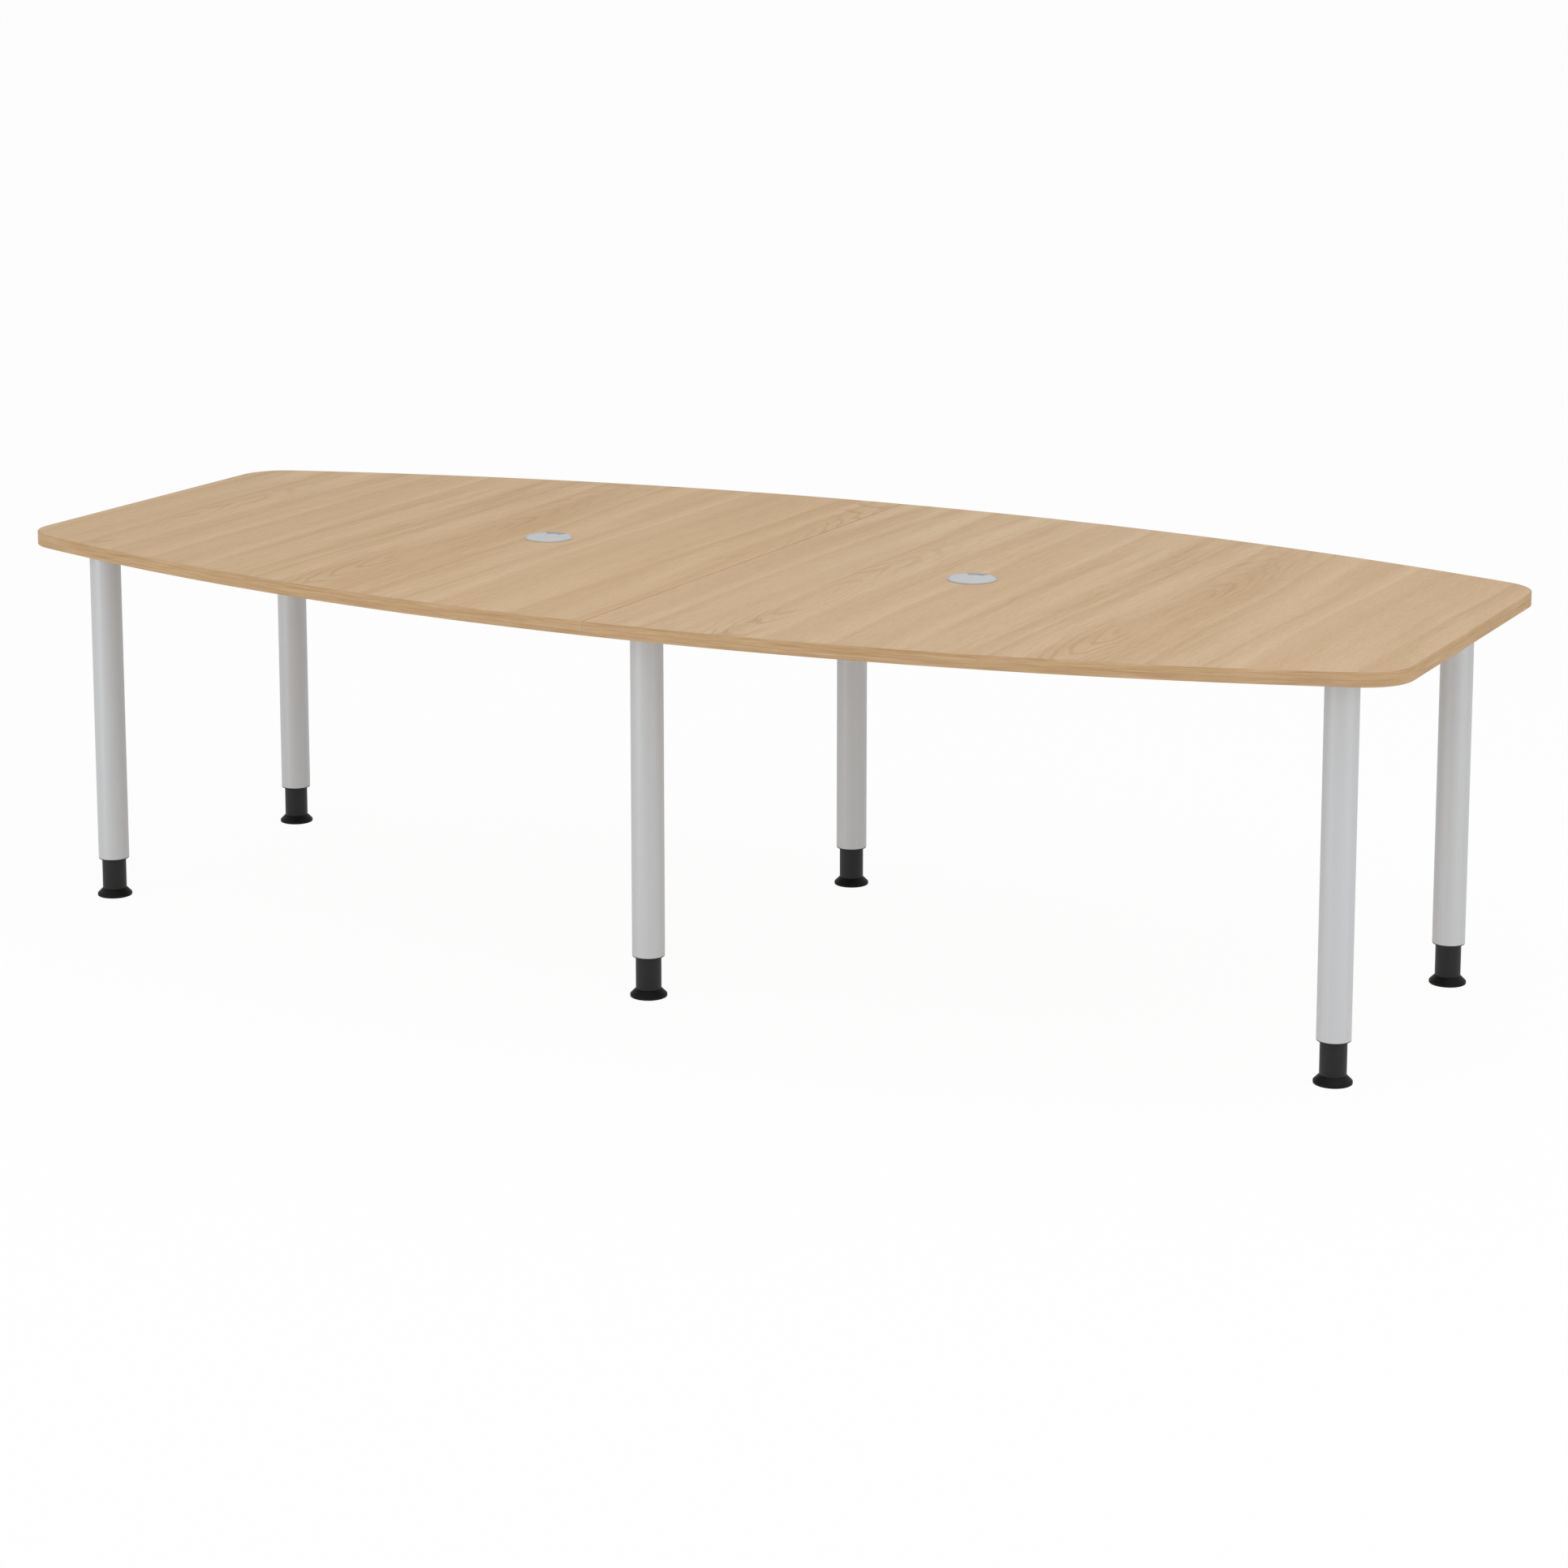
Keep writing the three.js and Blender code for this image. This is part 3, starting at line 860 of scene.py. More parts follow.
def pressed_chips(name, shade):
    """The board's core of pressed wood chips."""
    finish, tree, shader = start_finish(name)
    place = own_place(tree)
    chips = grain(tree, place, (260.0, 260.0, 800.0), detail=3.0, roughness=0.6)
    dust = grain(tree, place, (1400.0,) * 3, detail=1.0)
    tone = pile_up(tree, 0.5, ((chips, 1.2), (dust, 0.6)))
    set_sockets(
        tree,
        shader,
        {
            "Base Color": mottled(tree, tone, shade, 0.40, 0.90, end=0.2),
            "Roughness": between(tree, chips, 0.2, 0.8, 0.80, 0.95),
            "Normal": bump(tree, chips, 0.0002),
            "Specular IOR Level": 0.15,
        },
    )
    return finish


def finish_for(name):
    """The material of that name, made when it is first asked for."""
    found = bpy.data.materials.get(name)
    if found:
        return found
    colours = bpy.context.scene.table_colours
    black_scuff = (0.030, 0.030, 0.030)
    makers = {
        "decor_left": (wood_decor, colours, (0.0, 0.0, 0.0), (1.0, 1.0, 1.0)),
        # The right half's tint is a painted sheen: paler and cooler wood that stands in for light
        # from the right
        "decor_right": (wood_decor, colours, (-1.48, 0.0, 0.0), (0.990, 1.006, 1.035)),
        "edge_streaks": (edge_streaks, colours.edging_dark, colours.edging, colours.wood),
        "seam_edge": (edge_streaks, colours.wood_line, colours.edging_dark, colours.edging),
        "satin_silver": (satin_silver, colours.silver),
        "black_moulding": (moulded_plastic, colours.black, black_scuff, 0.006, 0.30),
        "foot_moulding": (moulded_plastic, colours.foot_black, black_scuff, 0.006, 0.12),
        "grey_moulding": (moulded_plastic, colours.grey, (0.40, 0.41, 0.43), 0.001, 0.30),
        # The sleeves' insides carry a painted shade, a dark grey for the shadow in the cable slots
        "dark_moulding": (moulded_plastic, colours.dark_grey, (0.20, 0.20, 0.21), 0.001, 0.30),
        "zinc_steel": (zinc_steel, colours.steel),
        "bare_beech": (bare_beech, colours.dowel),
        "pressed_chips": (pressed_chips, colours.dowel),
    }
    if name not in makers:
        raise KeyError(f"there is no finish named {name}")
    make, *inputs = makers[name]
    return make(name, *inputs)


class TABLE_OT_boards(Operator):
    """Both halves of the top, bored for the grommets and drilled for the dowels"""

    bl_idname = "table.boards"
    bl_label = "Boards"

    def execute(self, context):
        sizes = context.scene.table_sizes
        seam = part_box("top_right")[0].x
        low, high = bottom("top_right"), top("top_right")
        edge = sizes.band_thickness + sizes.glue_line
        cut = sizes.seam_chamfer
        shell = Shell()
        levels = ((cut, low), (0.0, low + cut), (0.0, high - cut), (cut, high))
        rims = [
            shell.loop((x, y, z) for x, y in half_outline(sizes, edge, seam + inset))
            for inset, z in levels
        ]
        shell.skins(rims, closed=False)

        centre = middle("grommet_sleeve_right").xy
        bore = circle(sizes.bore / 2, ROUND_STEPS, centre)
        bore_low = shell.loop((x, y, low) for x, y in bore)
        bore_high = shell.loop((x, y, high) for x, y in bore)
        shell.sheet([rims[0], bore_low], from_above)
        shell.sheet([rims[3], bore_high], from_above)

        # The edge cut at the seam is darker than the decor
        shell.coat = 1
        for one, two in ((rims[0], rims[1]), (rims[2], rims[3])):
            shell.skin([one[-1], one[0]], [two[-1], two[0]], closed=False)
        seam_rim = [rims[1][0], rims[1][-1], rims[2][-1], rims[2][0]]
        mouths = []
        for i in range(SEAM_DOWELS):
            dowel = f"seam_dowel_{i + 1}"
            at = middle(dowel)
            ring = circle(span(dowel).y / 2 + sizes.fit, SMALL_ROUND_STEPS, at.yz)
            mouths.append(shell.loop((seam, y, z) for y, z in ring))
        shell.sheet([seam_rim, *mouths], from_the_side)

        # The drilled holes show the board's core
        shell.coat = 2
        shell.skin(bore_low, bore_high)
        for mouth in mouths:
            rim = [shell.points[number] for number in mouth]
            end = shell.loop((sizes.dowel_depth, point.y, point.z) for point in rim)
            shell.skin(mouth, end)
            shell.cap(end)

        right = shell.mesh("board_right", "decor_right", "seam_edge", "pressed_chips")
        place_piece("board_right", right, "table", ["top_right"])
        shell.move(Matrix.Rotation(math.pi, 4, "Z"))
        left = shell.mesh("board_left", "decor_left", "seam_edge", "pressed_chips")
        place_piece("board_left", left, "table", ["top_left"])
        return {"FINISHED"}


class TABLE_OT_edge_bands(Operator):
    """The band round the edge of each half, with rounded outer edges"""

    bl_idname = "table.edge_bands"
    bl_label = "Edge bands"

    def execute(self, context):
        sizes = context.scene.table_sizes
        seam = sizes.band_gap / 2
        low, high = bottom("edge_band_right"), top("edge_band_right")
        thick = sizes.band_thickness
        outer_low = soften([(thick, low), (0.0, low), (0.0, high)], sizes.band_round, False)
        outer_high = soften([(0.0, low), (0.0, high), (thick, high)], sizes.band_round, False)
        section = [*outer_low[:-1], *outer_high[1:]]
        shell = Shell()
        rows = [
            shell.loop((x, y, z) for x, y in half_outline(sizes, inset, seam))
            for inset, z in section
        ]
        shell.skins(rows, closed=False, round_about=True)
        # The ends that meet at the seam are cut edges
        shell.coat = 1
        shell.cap([row[0] for row in rows])
        shell.cap([row[-1] for row in rows])
        right = shell.mesh("edging_right", "edge_streaks", "seam_edge")
        place_piece("edging_right", right, "table", ["edge_band_right"])
        shell.move(Matrix.Rotation(math.pi, 4, "Z"))
        left = shell.mesh("edging_left", "edge_streaks", "seam_edge")
        place_piece("edging_left", left, "table", ["edge_band_left"])
        return {"FINISHED"}


class TABLE_OT_leg_tubes(Operator):
    """The six leg tubes, each drilled for its set screw"""

    bl_idname = "table.leg_tubes"
    bl_label = "Leg tubes"

    def execute(self, context):
        sizes = context.scene.table_sizes
        node = "leg_tube_front_left"
        radius = span(node).x / 2
        bore = radius - sizes.tube_wall
        low, high = bottom(node), top(node)
        soft = sizes.tube_wall / 4
        hole = set_screw_hole(sizes)
        shell = Shell()
        out_low, out_high, out_rim = pierced_wall(
            shell, radius, low + 2 * soft, high - 2 * soft, *hole
        )
        in_low, in_high, in_rim = pierced_wall(shell, bore, low + 2 * soft, high - 2 * soft, *hole)
        shell.skin(out_rim, in_rim)
        for out_row, in_row, end, way in (
            (out_low, in_low, low, 2 * soft),
            (out_high, in_high, high, -2 * soft),
        ):
            corners = [(radius, end + way), (radius, end), (bore, end), (bore, end + way)]
            path = soften(corners, soft, closed=False)[1:-1]
            rings = [shell.ring(r, z) for r, z in path]
            shell.skins([out_row, *rings, in_row])
        mesh = shell.mesh("tube", "satin_silver")
        place_on_legs("tube", mesh, "leg_tube", facing=True)
        return {"FINISHED"}


class TABLE_OT_leg_heads(Operator):
    """The plates under the top, each with the spigot that its tube slides on"""

    bl_idname = "table.leg_heads"
    bl_label = "Leg heads"

    def execute(self, context):
        sizes = context.scene.table_sizes
        node = "leg_head_front_left"
        plate_radius = span(node).x / 2
        low, high = bottom(node), top(node)
        plate_low = high - sizes.head_plate
        spigot = span("leg_tube_front_left").x / 2 - sizes.tube_wall - sizes.fit
        cup = spigot - sizes.head_spigot_wall
        soft = sizes.head_plate / 6
        hole = set_screw_hole(sizes)
        shell = Shell()

        out_low, out_high, out_rim = pierced_wall(shell, spigot, low + soft, plate_low, *hole)
        in_low, in_high, in_rim = pierced_wall(shell, cup, low + soft, plate_low, *hole)
        shell.skin(out_rim, in_rim)
        lip = [shell.ring(spigot - soft, low), shell.ring(cup + soft, low)]
        shell.skins([out_low, *lip, in_low])
        shell.cap(in_high)

        holes_low = []
        holes_high = []
        for i in range(HEAD_SCREWS):
            angle = FULL_TURN * (i + 0.5) / HEAD_SCREWS
            centre = (
                sizes.head_screw_circle * math.cos(angle),
                sizes.head_screw_circle * math.sin(angle),
            )
            ring = circle(sizes.screw_hole / 2, SMALL_ROUND_STEPS, centre)
            holes_low.append(shell.loop((x, y, plate_low) for x, y in ring))
            holes_high.append(shell.loop((x, y, high) for x, y in ring))
            shell.skin(holes_low[-1], holes_high[-1])
        corners = [(cup, plate_low), (plate_radius, plate_low), (plate_radius, high), (cup, high)]
        path = soften(corners, soft, closed=False)[1:-1]
        rings = [shell.ring(r, z) for r, z in path]
        shell.skins(rings)
        shell.sheet([rings[0], out_high, *holes_low], from_above)
        shell.sheet([rings[-1], *holes_high], from_above)

        mesh = shell.mesh("head", "satin_silver")
        place_on_legs("head", mesh, "leg_head", facing=True)
        return {"FINISHED"}


class TABLE_OT_set_screws(Operator):
    """The hexagon-socket screws that lock the tubes on their heads"""

    bl_idname = "table.set_screws"
    bl_label = "Set screws"

    def execute(self, context):
        node = "set_screw_front_left"
        low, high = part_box(node)
        axis = leg_place("front_left")[0]
        near, far = low.x - axis, high.x - axis
        radius = (high.y - low.y) / 2
        cut = radius / 6
        socket = radius * 0.575
        shell = Shell()
        profile = [
            (0.0, near),
            (radius - 2 * cut, near),
            (radius, near + 2 * cut),
            (radius, far - cut),
            (radius - cut, far),
        ]
        rows = [shell.ring(r, z, SMALL_ROUND_STEPS) for r, z in profile]
        shell.skins(rows)
        six = arc((0, 0), socket, 0, FULL_TURN * 5 / 6, 5)
        mouth = shell.loop((x, y, far) for x, y in six)
        floor = shell.loop((x, y, (near + far) / 2) for x, y in six)
        shell.sheet([rows[-1], mouth], from_above)
        shell.skin(mouth, floor)
        shell.cap(floor)
        lay_down = Matrix.Rotation(math.pi / 2, 4, "Y")
        shell.move(Matrix.Translation((0, 0, middle(node).z)) @ lay_down)
        mesh = shell.mesh("set_screw", "zinc_steel")
        place_on_legs("grub_screw", mesh, "set_screw", facing=True)
        return {"FINISHED"}


class TABLE_OT_guide_bushes(Operator):
    """The bushes in the tubes, each with a collar below and a nut above"""

    bl_idname = "table.guide_bushes"
    bl_label = "Guide bushes"

    def execute(self, context):
        sizes = context.scene.table_sizes
        node = "guide_bush_front_left"
        low, high = bottom(node), top(node)
        tube = span("leg_tube_front_left").x / 2
        collar = tube - sizes.collar_inset
        plug = tube - sizes.tube_wall - sizes.fit
        guide = plug - sizes.bush_wall
        collar_top = low + sizes.collar_thickness
        nut_low = high - sizes.nut_length
        shell = Shell()
        shell.turned(
            soften(
                [
                    (guide, low),
                    (collar, low),
                    (collar, collar_top),
                    (plug, collar_top),
                    (plug, high),
                    (sizes.nut_radius, high),
                    (sizes.nut_radius, nut_low),
                    (guide, nut_low),
                ],
                sizes.collar_thickness / 3,
            ),
            ring_shaped=True,
        )
        mesh = shell.mesh("bush", "black_moulding")
        place_on_legs("bush", mesh, "guide_bush")
        return {"FINISHED"}


class TABLE_OT_foot_stems(Operator):
    """The stems that slide in and out of the tubes"""

    bl_idname = "table.foot_stems"
    bl_label = "Foot stems"

    def execute(self, context):
        sizes = context.scene.table_sizes
        node = "foot_stem_front_left"
        low, high = bottom(node), top(node)
        radius = span(node).x / 2
        bore = radius - sizes.stem_wall
        shell = Shell()
        corners = [(bore, low), (radius, low), (radius, high), (bore, high)]
        shell.turned(soften(corners, sizes.stem_wall / 6), ring_shaped=True)
        mesh = shell.mesh("stem", "black_moulding")
        place_on_legs("stem", mesh, "foot_stem", body="stem")
        return {"FINISHED"}


class TABLE_OT_feet(Operator):
    """The flared feet, each with a spigot in its stem and a socket for its spindle"""

    bl_idname = "table.feet"
    bl_label = "Feet"

    def execute(self, context):
        sizes = context.scene.table_sizes
        node = "foot_front_left"
        low, high = bottom(node), top(node)
        rim = span(node).x / 2
        neck = span("foot_stem_front_left").x / 2
        rim_top = low + sizes.foot_rim
        shoulder = rim_top + sizes.foot_flare
        socket_floor = bottom("foot_spindle_front_left") - sizes.fit
        corners = [
            (0.0, low),
            (rim, low),
            (rim, rim_top),
            (neck, shoulder),
            (sizes.foot_spigot, shoulder),
            (sizes.foot_spigot, high),
            (sizes.foot_socket, high),
            (sizes.foot_socket, socket_floor),
            (0.0, socket_floor),
        ]
        shell = Shell()
        shell.turned(soften(corners, sizes.foot_rim / 4, closed=False))
        mesh = shell.mesh("flared_foot", "foot_moulding")
        place_on_legs("flared_foot", mesh, "foot", body="foot")
        return {"FINISHED"}


class TABLE_OT_foot_spindles(Operator):
    """The threaded spindles that stand in the feet and run in the bushes' nuts"""

    bl_idname = "table.foot_spindles"
    bl_label = "Foot spindles"

    def execute(self, context):
        sizes = context.scene.table_sizes
        node = "foot_spindle_front_left"
        low, high = bottom(node), top(node)
        radius = span(node).x / 2
        depth = sizes.thread_depth
        pitch = sizes.thread_pitch
        rise = pitch / 4
        count = math.floor((high - low - 2 * depth) / rise)
        heights = [low + depth + rise * i for i in range(count)] + [high - depth]
        shell = Shell()
        tip = shell.ring(0.0, low)
        rows = [tip, shell.ring(radius - 2 * depth, low, SMALL_ROUND_STEPS)]
        for height in heights:
            points = []
            for i, (x, y) in enumerate(circle(1.0, SMALL_ROUND_STEPS)):
                turns = height / pitch - 2 * i / SMALL_ROUND_STEPS
                flank = abs(2 * (turns - math.floor(turns)) - 1)
                crest = radius - depth * min(1.0, max(0.0, 2 * flank - 0.5))
                points.append((x * crest, y * crest, height))
            rows.append(shell.loop(points))
        rows.append(shell.ring(radius - 2 * depth, high, SMALL_ROUND_STEPS))
        rows.append(shell.ring(0.0, high))
        shell.skins(rows)
        mesh = shell.mesh("threaded_spindle", "zinc_steel")
        place_on_legs("threaded_spindle", mesh, "foot_spindle", body="foot")
        return {"FINISHED"}


class TABLE_OT_grommet_sleeves(Operator):
    """The flanged sleeves in the bored holes, with ribs that carry the shutters"""

    bl_idname = "table.grommet_sleeves"
    bl_label = "Grommet sleeves"

    def execute(self, context):
        sizes = context.scene.table_sizes
        node = "grommet_sleeve_left"
        low, high = bottom(node), top(node)
        flange = span(node).x / 2
        sleeve = sizes.sleeve_radius
        bore = sleeve - sizes.sleeve_wall
        recess = flange - sizes.flange_rim
        flange_low = top("top_left") + sizes.fit
        recess_floor = flange_low + sizes.flange_floor
        slope = sizes.flange_rim / 2
        corners = [
            (bore, low),
            (sleeve, low),
            (sleeve, flange_low),
            (flange, flange_low),
            (flange, high - 1.5 * slope),
            (flange - slope, high),
            (recess, high),
            (recess, recess_floor),
            (bore, recess_floor),
        ]
        shell = Shell()
        rows = [shell.ring(r, z) for r, z in soften(corners, sizes.flange_rim / 5)]
        wall = corners.index((recess, recess_floor)) * (SOFT_STEPS + 1)
        mouth = corners.index((bore, recess_floor)) * (SOFT_STEPS + 1)
        shell.skins(rows[:wall])
        shell.skins(rows[mouth - 1:mouth + 1])
        # The recess's wall and the bore, which show in the cable slot, carry a painted shade: a
        # dark grey that stands in for the slot's shadow
        shell.coat = 1
        shell.skins(rows[wall - 1:mouth])
        shell.skins([*rows[mouth:], rows[0]])
        rib_top = bottom("grommet_shutter_left") - sizes.fit
        root = sizes.sleeve_wall / 2
        for i in range(SLEEVE_RIBS):
            angle = sizes.slot_direction + FULL_TURN * (i + 1) / (SLEEVE_RIBS + 1)
            rib = self.rib_outline(sizes, bore, root, angle)
            shell.prism(rib, low, rib_top, sizes.rib_depth / 5)
        mesh = shell.mesh("sleeve", "grey_moulding", "dark_moulding")
        place_in_grommets("sleeve", mesh, "grommet_sleeve")
        return {"FINISHED"}

    @staticmethod
    def rib_outline(sizes, bore, root, angle):
        """A rib's outline for any inset, let into the sleeve's wall by its root."""
        facing = Matrix.Rotation(angle, 2)

        def outline(inset):
            near = bore - sizes.rib_depth + inset
            far = bore + root - inset
            half = sizes.rib_width / 2 - inset
            corners = ((near, -half), (far, -half), (far, half), (near, half))
            return [facing @ Vector(corner) for corner in corners]

        return outline


class TABLE_OT_grommet_shutters(Operator):
    """The slotted discs that lie on the sleeves' ribs"""

    bl_idname = "table.grommet_shutters"
    bl_label = "Grommet shutters"

    def execute(self, context):
        sizes = context.scene.table_sizes
        radius = sizes.sleeve_radius - sizes.sleeve_wall - sizes.fit
        slot_floor = span("grommet_cap_left").x / 2 - sizes.slot_depth
        low, high = bottom("grommet_shutter_left"), top("grommet_shutter_left")
        shell = Shell()
        shell.prism(
            slotted_outline(sizes, radius, slot_floor),
            low,
            high,
            sizes.fit,
            [circle(sizes.pin_hole, SMALL_ROUND_STEPS)],
        )
        mesh = shell.mesh("shutter", "grey_moulding")
        place_in_grommets("shutter", mesh, "grommet_shutter", body="shutter")
        return {"FINISHED"}


class TABLE_OT_grommet_caps(Operator):
    """The slotted caps that turn on a pin in the shutters"""

    bl_idname = "table.grommet_caps"
    bl_label = "Grommet caps"

    def execute(self, context):
        sizes = context.scene.table_sizes
        node = "grommet_cap_left"
        low, high = bottom(node), top(node)
        radius = span(node).x / 2
        cap_low = high - sizes.cap_thickness
        soft = sizes.cap_thickness / 3
        outline_at = slotted_outline(sizes, radius, radius - sizes.slot_depth)
        shell = Shell()
        levels = (
            (soft, cap_low),
            (0.0, cap_low + soft),
            (0.0, high - soft),
            (soft / 3, high - soft / 3),
            (soft, high),
        )
        rows = [
            shell.loop((x, y, z) for x, y in outline_at(inset)) for inset, z in levels
        ]
        shell.skins(rows)
        shell.sheet([rows[-1]], from_above)
        head_top = low + sizes.pin_head_height
        profile = [
            (sizes.pin_radius, cap_low),
            (sizes.pin_radius, head_top),
            (sizes.pin_head_radius, head_top),
            (sizes.pin_head_radius, (low + head_top) / 2),
            (sizes.pin_radius, low),
            (0.0, low),
        ]
        pin = [shell.ring(r, z, SMALL_ROUND_STEPS) for r, z in profile]
        shell.skins(pin)
        shell.sheet([rows[0], pin[0]], from_above)
        mesh = shell.mesh("cap", "grey_moulding")
        place_in_grommets("cap", mesh, "grommet_cap", body="cap")
        return {"FINISHED"}


def plate_hole_places(sizes):
    """Where the wood screws go through a seam plate, from its middle."""
    size = span("seam_plate_1")
    reach_x = size.x / 2 - sizes.plate_hole_inset
    reach_y = size.y / 2 - sizes.plate_hole_inset
    return [(x, y) for x in spread(2, reach_x) for y in spread(2, reach_y)]


class TABLE_OT_seam_plates(Operator):
    """The flat plates that are screwed across the seam from below"""

    bl_idname = "table.seam_plates"
    bl_label = "Seam plates"

    def execute(self, context):
        sizes = context.scene.table_sizes
        size = span("seam_plate_1")
        soft = size.z / 6

        def outline(inset):
            x, y = size.x / 2 - inset, size.y / 2 - inset
            return soften([(-x, -y), (x, -y), (x, y), (-x, y)], size.z - inset)

        holes = [
            circle(sizes.screw_hole / 2, SMALL_ROUND_STEPS, centre)
            for centre in plate_hole_places(sizes)
        ]
        shell = Shell()
        shell.prism(outline, -size.z / 2, size.z / 2, soft, holes)
        mesh = shell.mesh("joining_plate", "zinc_steel")
        place_at_seam("joining_plate", mesh, "seam_plate", SEAM_PLATES)
        return {"FINISHED"}


class TABLE_OT_seam_dowels(Operator):
    """The fluted dowels that line the two halves up"""

    bl_idname = "table.seam_dowels"
    bl_label = "Seam dowels"

    def execute(self, context):
        size = span("seam_dowel_1")
        radius = size.y / 2
        half = size.x / 2
        flute = radius / 14
        nose = radius / 4
        shell = Shell()

        def fluted(height, smaller):
            points = []
            for i, (x, y) in enumerate(circle(1.0, ROUND_STEPS)):
                here = radius - smaller - flute * (i // 2 % 2)
                points.append((x * here, y * here, height))
            return shell.loop(points)

        rows = [
            shell.ring(0.0, -half),
            fluted(-half, nose),
            fluted(nose - half, 0.0),
            fluted(half - nose, 0.0),
            fluted(half, nose),
            shell.ring(0.0, half),
        ]
        shell.skins(rows)
        shell.move(Matrix.Rotation(math.pi / 2, 4, "Y"))
        mesh = shell.mesh("fluted_dowel", "bare_beech")
        place_at_seam("fluted_dowel", mesh, "seam_dowel", SEAM_DOWELS)
        return {"FINISHED"}


class TABLE_OT_wood_screws(Operator):
    """The pan-head screws through the leg heads and the seam plates"""

    bl_idname = "table.wood_screws"
    bl_label = "Wood screws"

    def execute(self, context):
        sizes = context.scene.table_sizes
        hole = sizes.screw_hole / 2
        mesh = self.screw_mesh(hole - sizes.fit)
        for place in PLACES:
            centre = Vector(leg_place(place))
            height = top(f"leg_head_{place}") - sizes.head_plate
            for i in range(HEAD_SCREWS):
                angle = leg_turn(place)[2] + FULL_TURN * (i + 0.5) / HEAD_SCREWS
                out = Vector((math.cos(angle), math.sin(angle), 0.0))
                at = centre + out * sizes.head_screw_circle
                at.z = height
                self.put_in(f"head_screw_{place}_{i + 1}", mesh, at, angle + i)
        for i in range(SEAM_PLATES):
            plate = f"seam_plate_{i + 1}"
            centre = middle(plate)
            for j, (x, y) in enumerate(plate_hole_places(sizes)):
                at = (centre.x + x, centre.y + y, bottom(plate))
                self.put_in(f"plate_screw_{i + 1}_{j + 1}", mesh, at, 0.7 * j + i)
        return {"FINISHED"}

    @staticmethod
    def put_in(name, mesh, at, angle):
        place_piece(name, mesh, "table", (), at, (0.0, 0.0, angle))

    @staticmethod
    def screw_mesh(radius):
        """A screw whose head hangs below the origin and whose shank goes up."""
        head = radius * 1.9
        drop = radius * 1.15
        reach = radius * 1.0
        arm = radius * 0.26
        shank = radius * 6.5
        shell = Shell()
        profile = [
            (0.0, shank),
            (radius * 0.45, shank - radius * 1.4),
            (radius * 0.94, shank - radius * 2.6),
            (radius, 0.0),
            (head * 0.97, 0.0),
            (head, -drop * 0.10),
            (head, -drop * 0.35),
            (head * 0.93, -drop * 0.72),
            (head * 0.78, -drop * 0.93),
            (head * 0.62, -drop),
        ]
        rows = [shell.ring(r, z, SMALL_ROUND_STEPS) for r, z in profile]
        shell.skins(rows)

        def cross(size, depth):
            long, wide = reach * size, arm * size
            quarter = [(long, -wide), (long, wide), (wide, wide)]
            points = []
            for i in range(4):
                way = Matrix.Rotation(i * math.pi / 2, 2)
                points += [way @ Vector(corner) for corner in quarter]
            return shell.loop((x, y, -drop + depth) for x, y in points)

        mouth = cross(1.0, 0.0)
        floor = cross(0.55, drop * 0.7)
        shell.sheet([rows[-1], mouth], from_above)
        shell.skin(mouth, floor)
        shell.cap(floor)
        return shell.mesh("wood_screw", "zinc_steel")


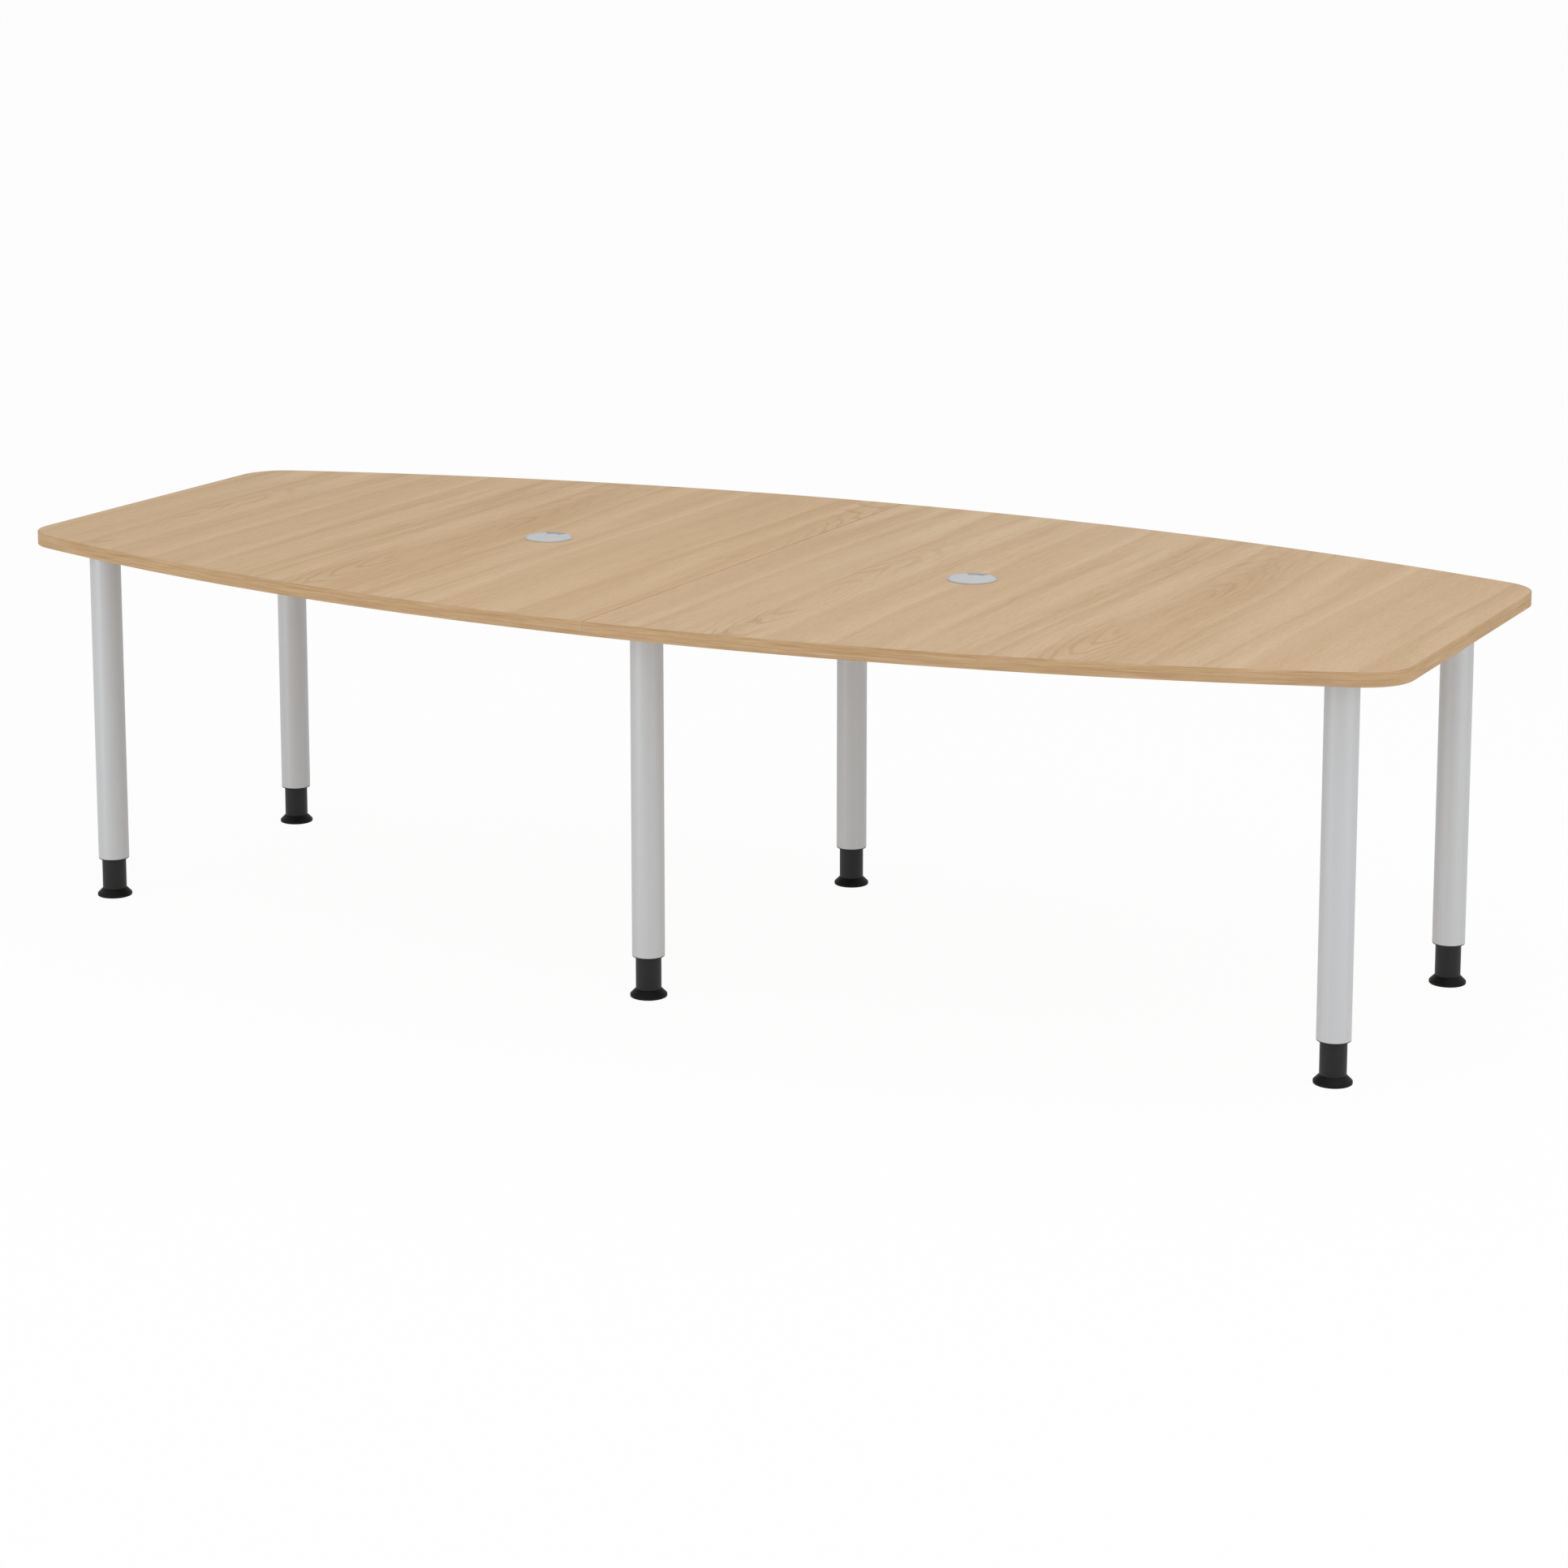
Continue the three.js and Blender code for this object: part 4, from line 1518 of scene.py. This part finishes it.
class TABLE_OT_stage(Operator):
    """The floor, the soft lights, the white surroundings and the camera"""

    bl_idname = "table.stage"
    bl_label = "Stage"

    def execute(self, context):
        scene = context.scene
        scene.view_settings.view_transform = "Standard"
        self.lay_floor(scene)
        self.set_surroundings(scene)
        for name, (at, width, power) in LAMPS.items():
            self.hang_light(scene, name, at, width, power)
        self.set_camera(scene)
        return {"FINISHED"}

    @staticmethod
    def seen_directly(tree):
        """1 for what the camera sees, straight or in a shiny or clear surface."""
        path = add_node(tree, "ShaderNodeLightPath")
        shiny = maths(
            tree,
            "MAXIMUM",
            path.outputs["Is Glossy Ray"],
            path.outputs["Is Transmission Ray"],
        )
        return maths(tree, "MAXIMUM", path.outputs["Is Camera Ray"], shiny)

    def lay_floor(self, scene):
        """A wide pale floor that is white to the camera but keeps a soft shadow."""
        corners = [
            (x * FLOOR_REACH, y * FLOOR_REACH, 0) for x, y in ((-1, -1), (1, -1), (1, 1), (-1, 1))
        ]
        mesh = bpy.data.meshes.new("floor")
        mesh.from_pydata(corners, [], [(0, 1, 2, 3)])
        floor = bpy.data.objects.new("floor", mesh)
        scene.collection.objects.link(floor)
        finish = bpy.data.materials.new("pale_floor")
        finish.use_nodes = True
        tree = finish.node_tree
        tree.nodes.clear()
        shade = (*scene.table_colours.floor, 1.0)
        plain = add_node(tree, "ShaderNodeBsdfDiffuse", {"Color": shade})
        glow = add_node(tree, "ShaderNodeEmission", {"Strength": 1.0})
        white = add_node(
            tree,
            "ShaderNodeMixShader",
            {0: FLOOR_WHITE, 1: plain.outputs[0], 2: glow.outputs[0]},
        )
        seen = add_node(
            tree,
            "ShaderNodeMixShader",
            {0: self.seen_directly(tree), 1: plain.outputs[0], 2: white.outputs[0]},
        )
        add_node(tree, "ShaderNodeOutputMaterial", {"Surface": seen.outputs[0]})
        mesh.materials.append(finish)

    def set_surroundings(self, scene):
        """White all round to the camera, and an even light on the table."""
        world = bpy.data.worlds.new("studio")
        scene.world = world
        world.use_nodes = True
        tree = world.node_tree
        tree.nodes.clear()
        even, white = (
            add_node(
                tree,
                "ShaderNodeBackground",
                {"Color": (1.0, 1.0, 1.0, 1.0), "Strength": strength},
            )
            for strength in (EVEN_LIGHT, SEEN_WHITE)
        )
        seen = add_node(
            tree,
            "ShaderNodeMixShader",
            {0: self.seen_directly(tree), 1: even.outputs[0], 2: white.outputs[0]},
        )
        add_node(tree, "ShaderNodeOutputWorld", {"Surface": seen.outputs[0]})

    @staticmethod
    def hang_light(scene, name, at, width, power):
        """A large soft light that looks at the middle of the table."""
        light = bpy.data.lights.new(name, "AREA")
        light.shape = "DISK"
        light.size = width
        light.energy = power
        lamp = bpy.data.objects.new(name, light)
        scene.collection.objects.link(lamp)
        lamp.location = at
        aim = Vector(LAMP_TARGET) - Vector(at)
        lamp.rotation_euler = aim.to_track_quat("-Z", "Y").to_euler()
        lamp.visible_camera = False

    @staticmethod
    def set_camera(scene):
        """The photograph's view: from the right, a little above the top."""
        view = bpy.data.cameras.new("camera")
        view.sensor_width = SENSOR
        view.lens = LENS
        view.shift_y = LENS_SHIFT
        camera = bpy.data.objects.new("camera", view)
        scene.collection.objects.link(camera)
        camera.location = CAMERA_PLACE
        camera.rotation_euler = Euler((CAMERA_TILT, 0.0, CAMERA_TURN))
        scene.camera = camera


BUILDERS = (
    TABLE_OT_boards,
    TABLE_OT_edge_bands,
    TABLE_OT_leg_tubes,
    TABLE_OT_leg_heads,
    TABLE_OT_set_screws,
    TABLE_OT_guide_bushes,
    TABLE_OT_foot_stems,
    TABLE_OT_feet,
    TABLE_OT_foot_spindles,
    TABLE_OT_grommet_sleeves,
    TABLE_OT_grommet_shutters,
    TABLE_OT_grommet_caps,
    TABLE_OT_seam_plates,
    TABLE_OT_seam_dowels,
    TABLE_OT_wood_screws,
    TABLE_OT_stage,
)


class TABLE_PT_build(Panel):
    """Lists the sizes, the colours and the steps of the build"""

    bl_idname = "TABLE_PT_build"
    bl_label = "Conference Table"
    bl_space_type = "VIEW_3D"
    bl_region_type = "UI"
    bl_category = "Table"

    def draw(self, context):
        layout = self.layout
        for title, group in (
            ("Sizes", context.scene.table_sizes),
            ("Colours", context.scene.table_colours),
        ):
            box = layout.box()
            box.label(text=title)
            for name in group.bl_rna.properties.keys():
                if name not in ("rna_type", "name"):
                    box.prop(group, name)
        for builder in BUILDERS:
            layout.operator(builder.bl_idname)


CLASSES = (TableSizes, TableColours, *BUILDERS, TABLE_PT_build)


def register():
    for each in CLASSES:
        bpy.utils.register_class(each)
    bpy.types.Scene.table_sizes = PointerProperty(type=TableSizes)
    bpy.types.Scene.table_colours = PointerProperty(type=TableColours)


def unregister():
    del bpy.types.Scene.table_colours
    del bpy.types.Scene.table_sizes
    for each in reversed(CLASSES):
        bpy.utils.unregister_class(each)


def main():
    register()
    bpy.ops.table.boards()
    bpy.ops.table.edge_bands()
    bpy.ops.table.leg_tubes()
    bpy.ops.table.leg_heads()
    bpy.ops.table.set_screws()
    bpy.ops.table.guide_bushes()
    bpy.ops.table.foot_stems()
    bpy.ops.table.feet()
    bpy.ops.table.foot_spindles()
    bpy.ops.table.grommet_sleeves()
    bpy.ops.table.grommet_shutters()
    bpy.ops.table.grommet_caps()
    bpy.ops.table.seam_plates()
    bpy.ops.table.seam_dowels()
    bpy.ops.table.wood_screws()
    bpy.ops.table.stage()


if __name__ == "__main__":
    main()
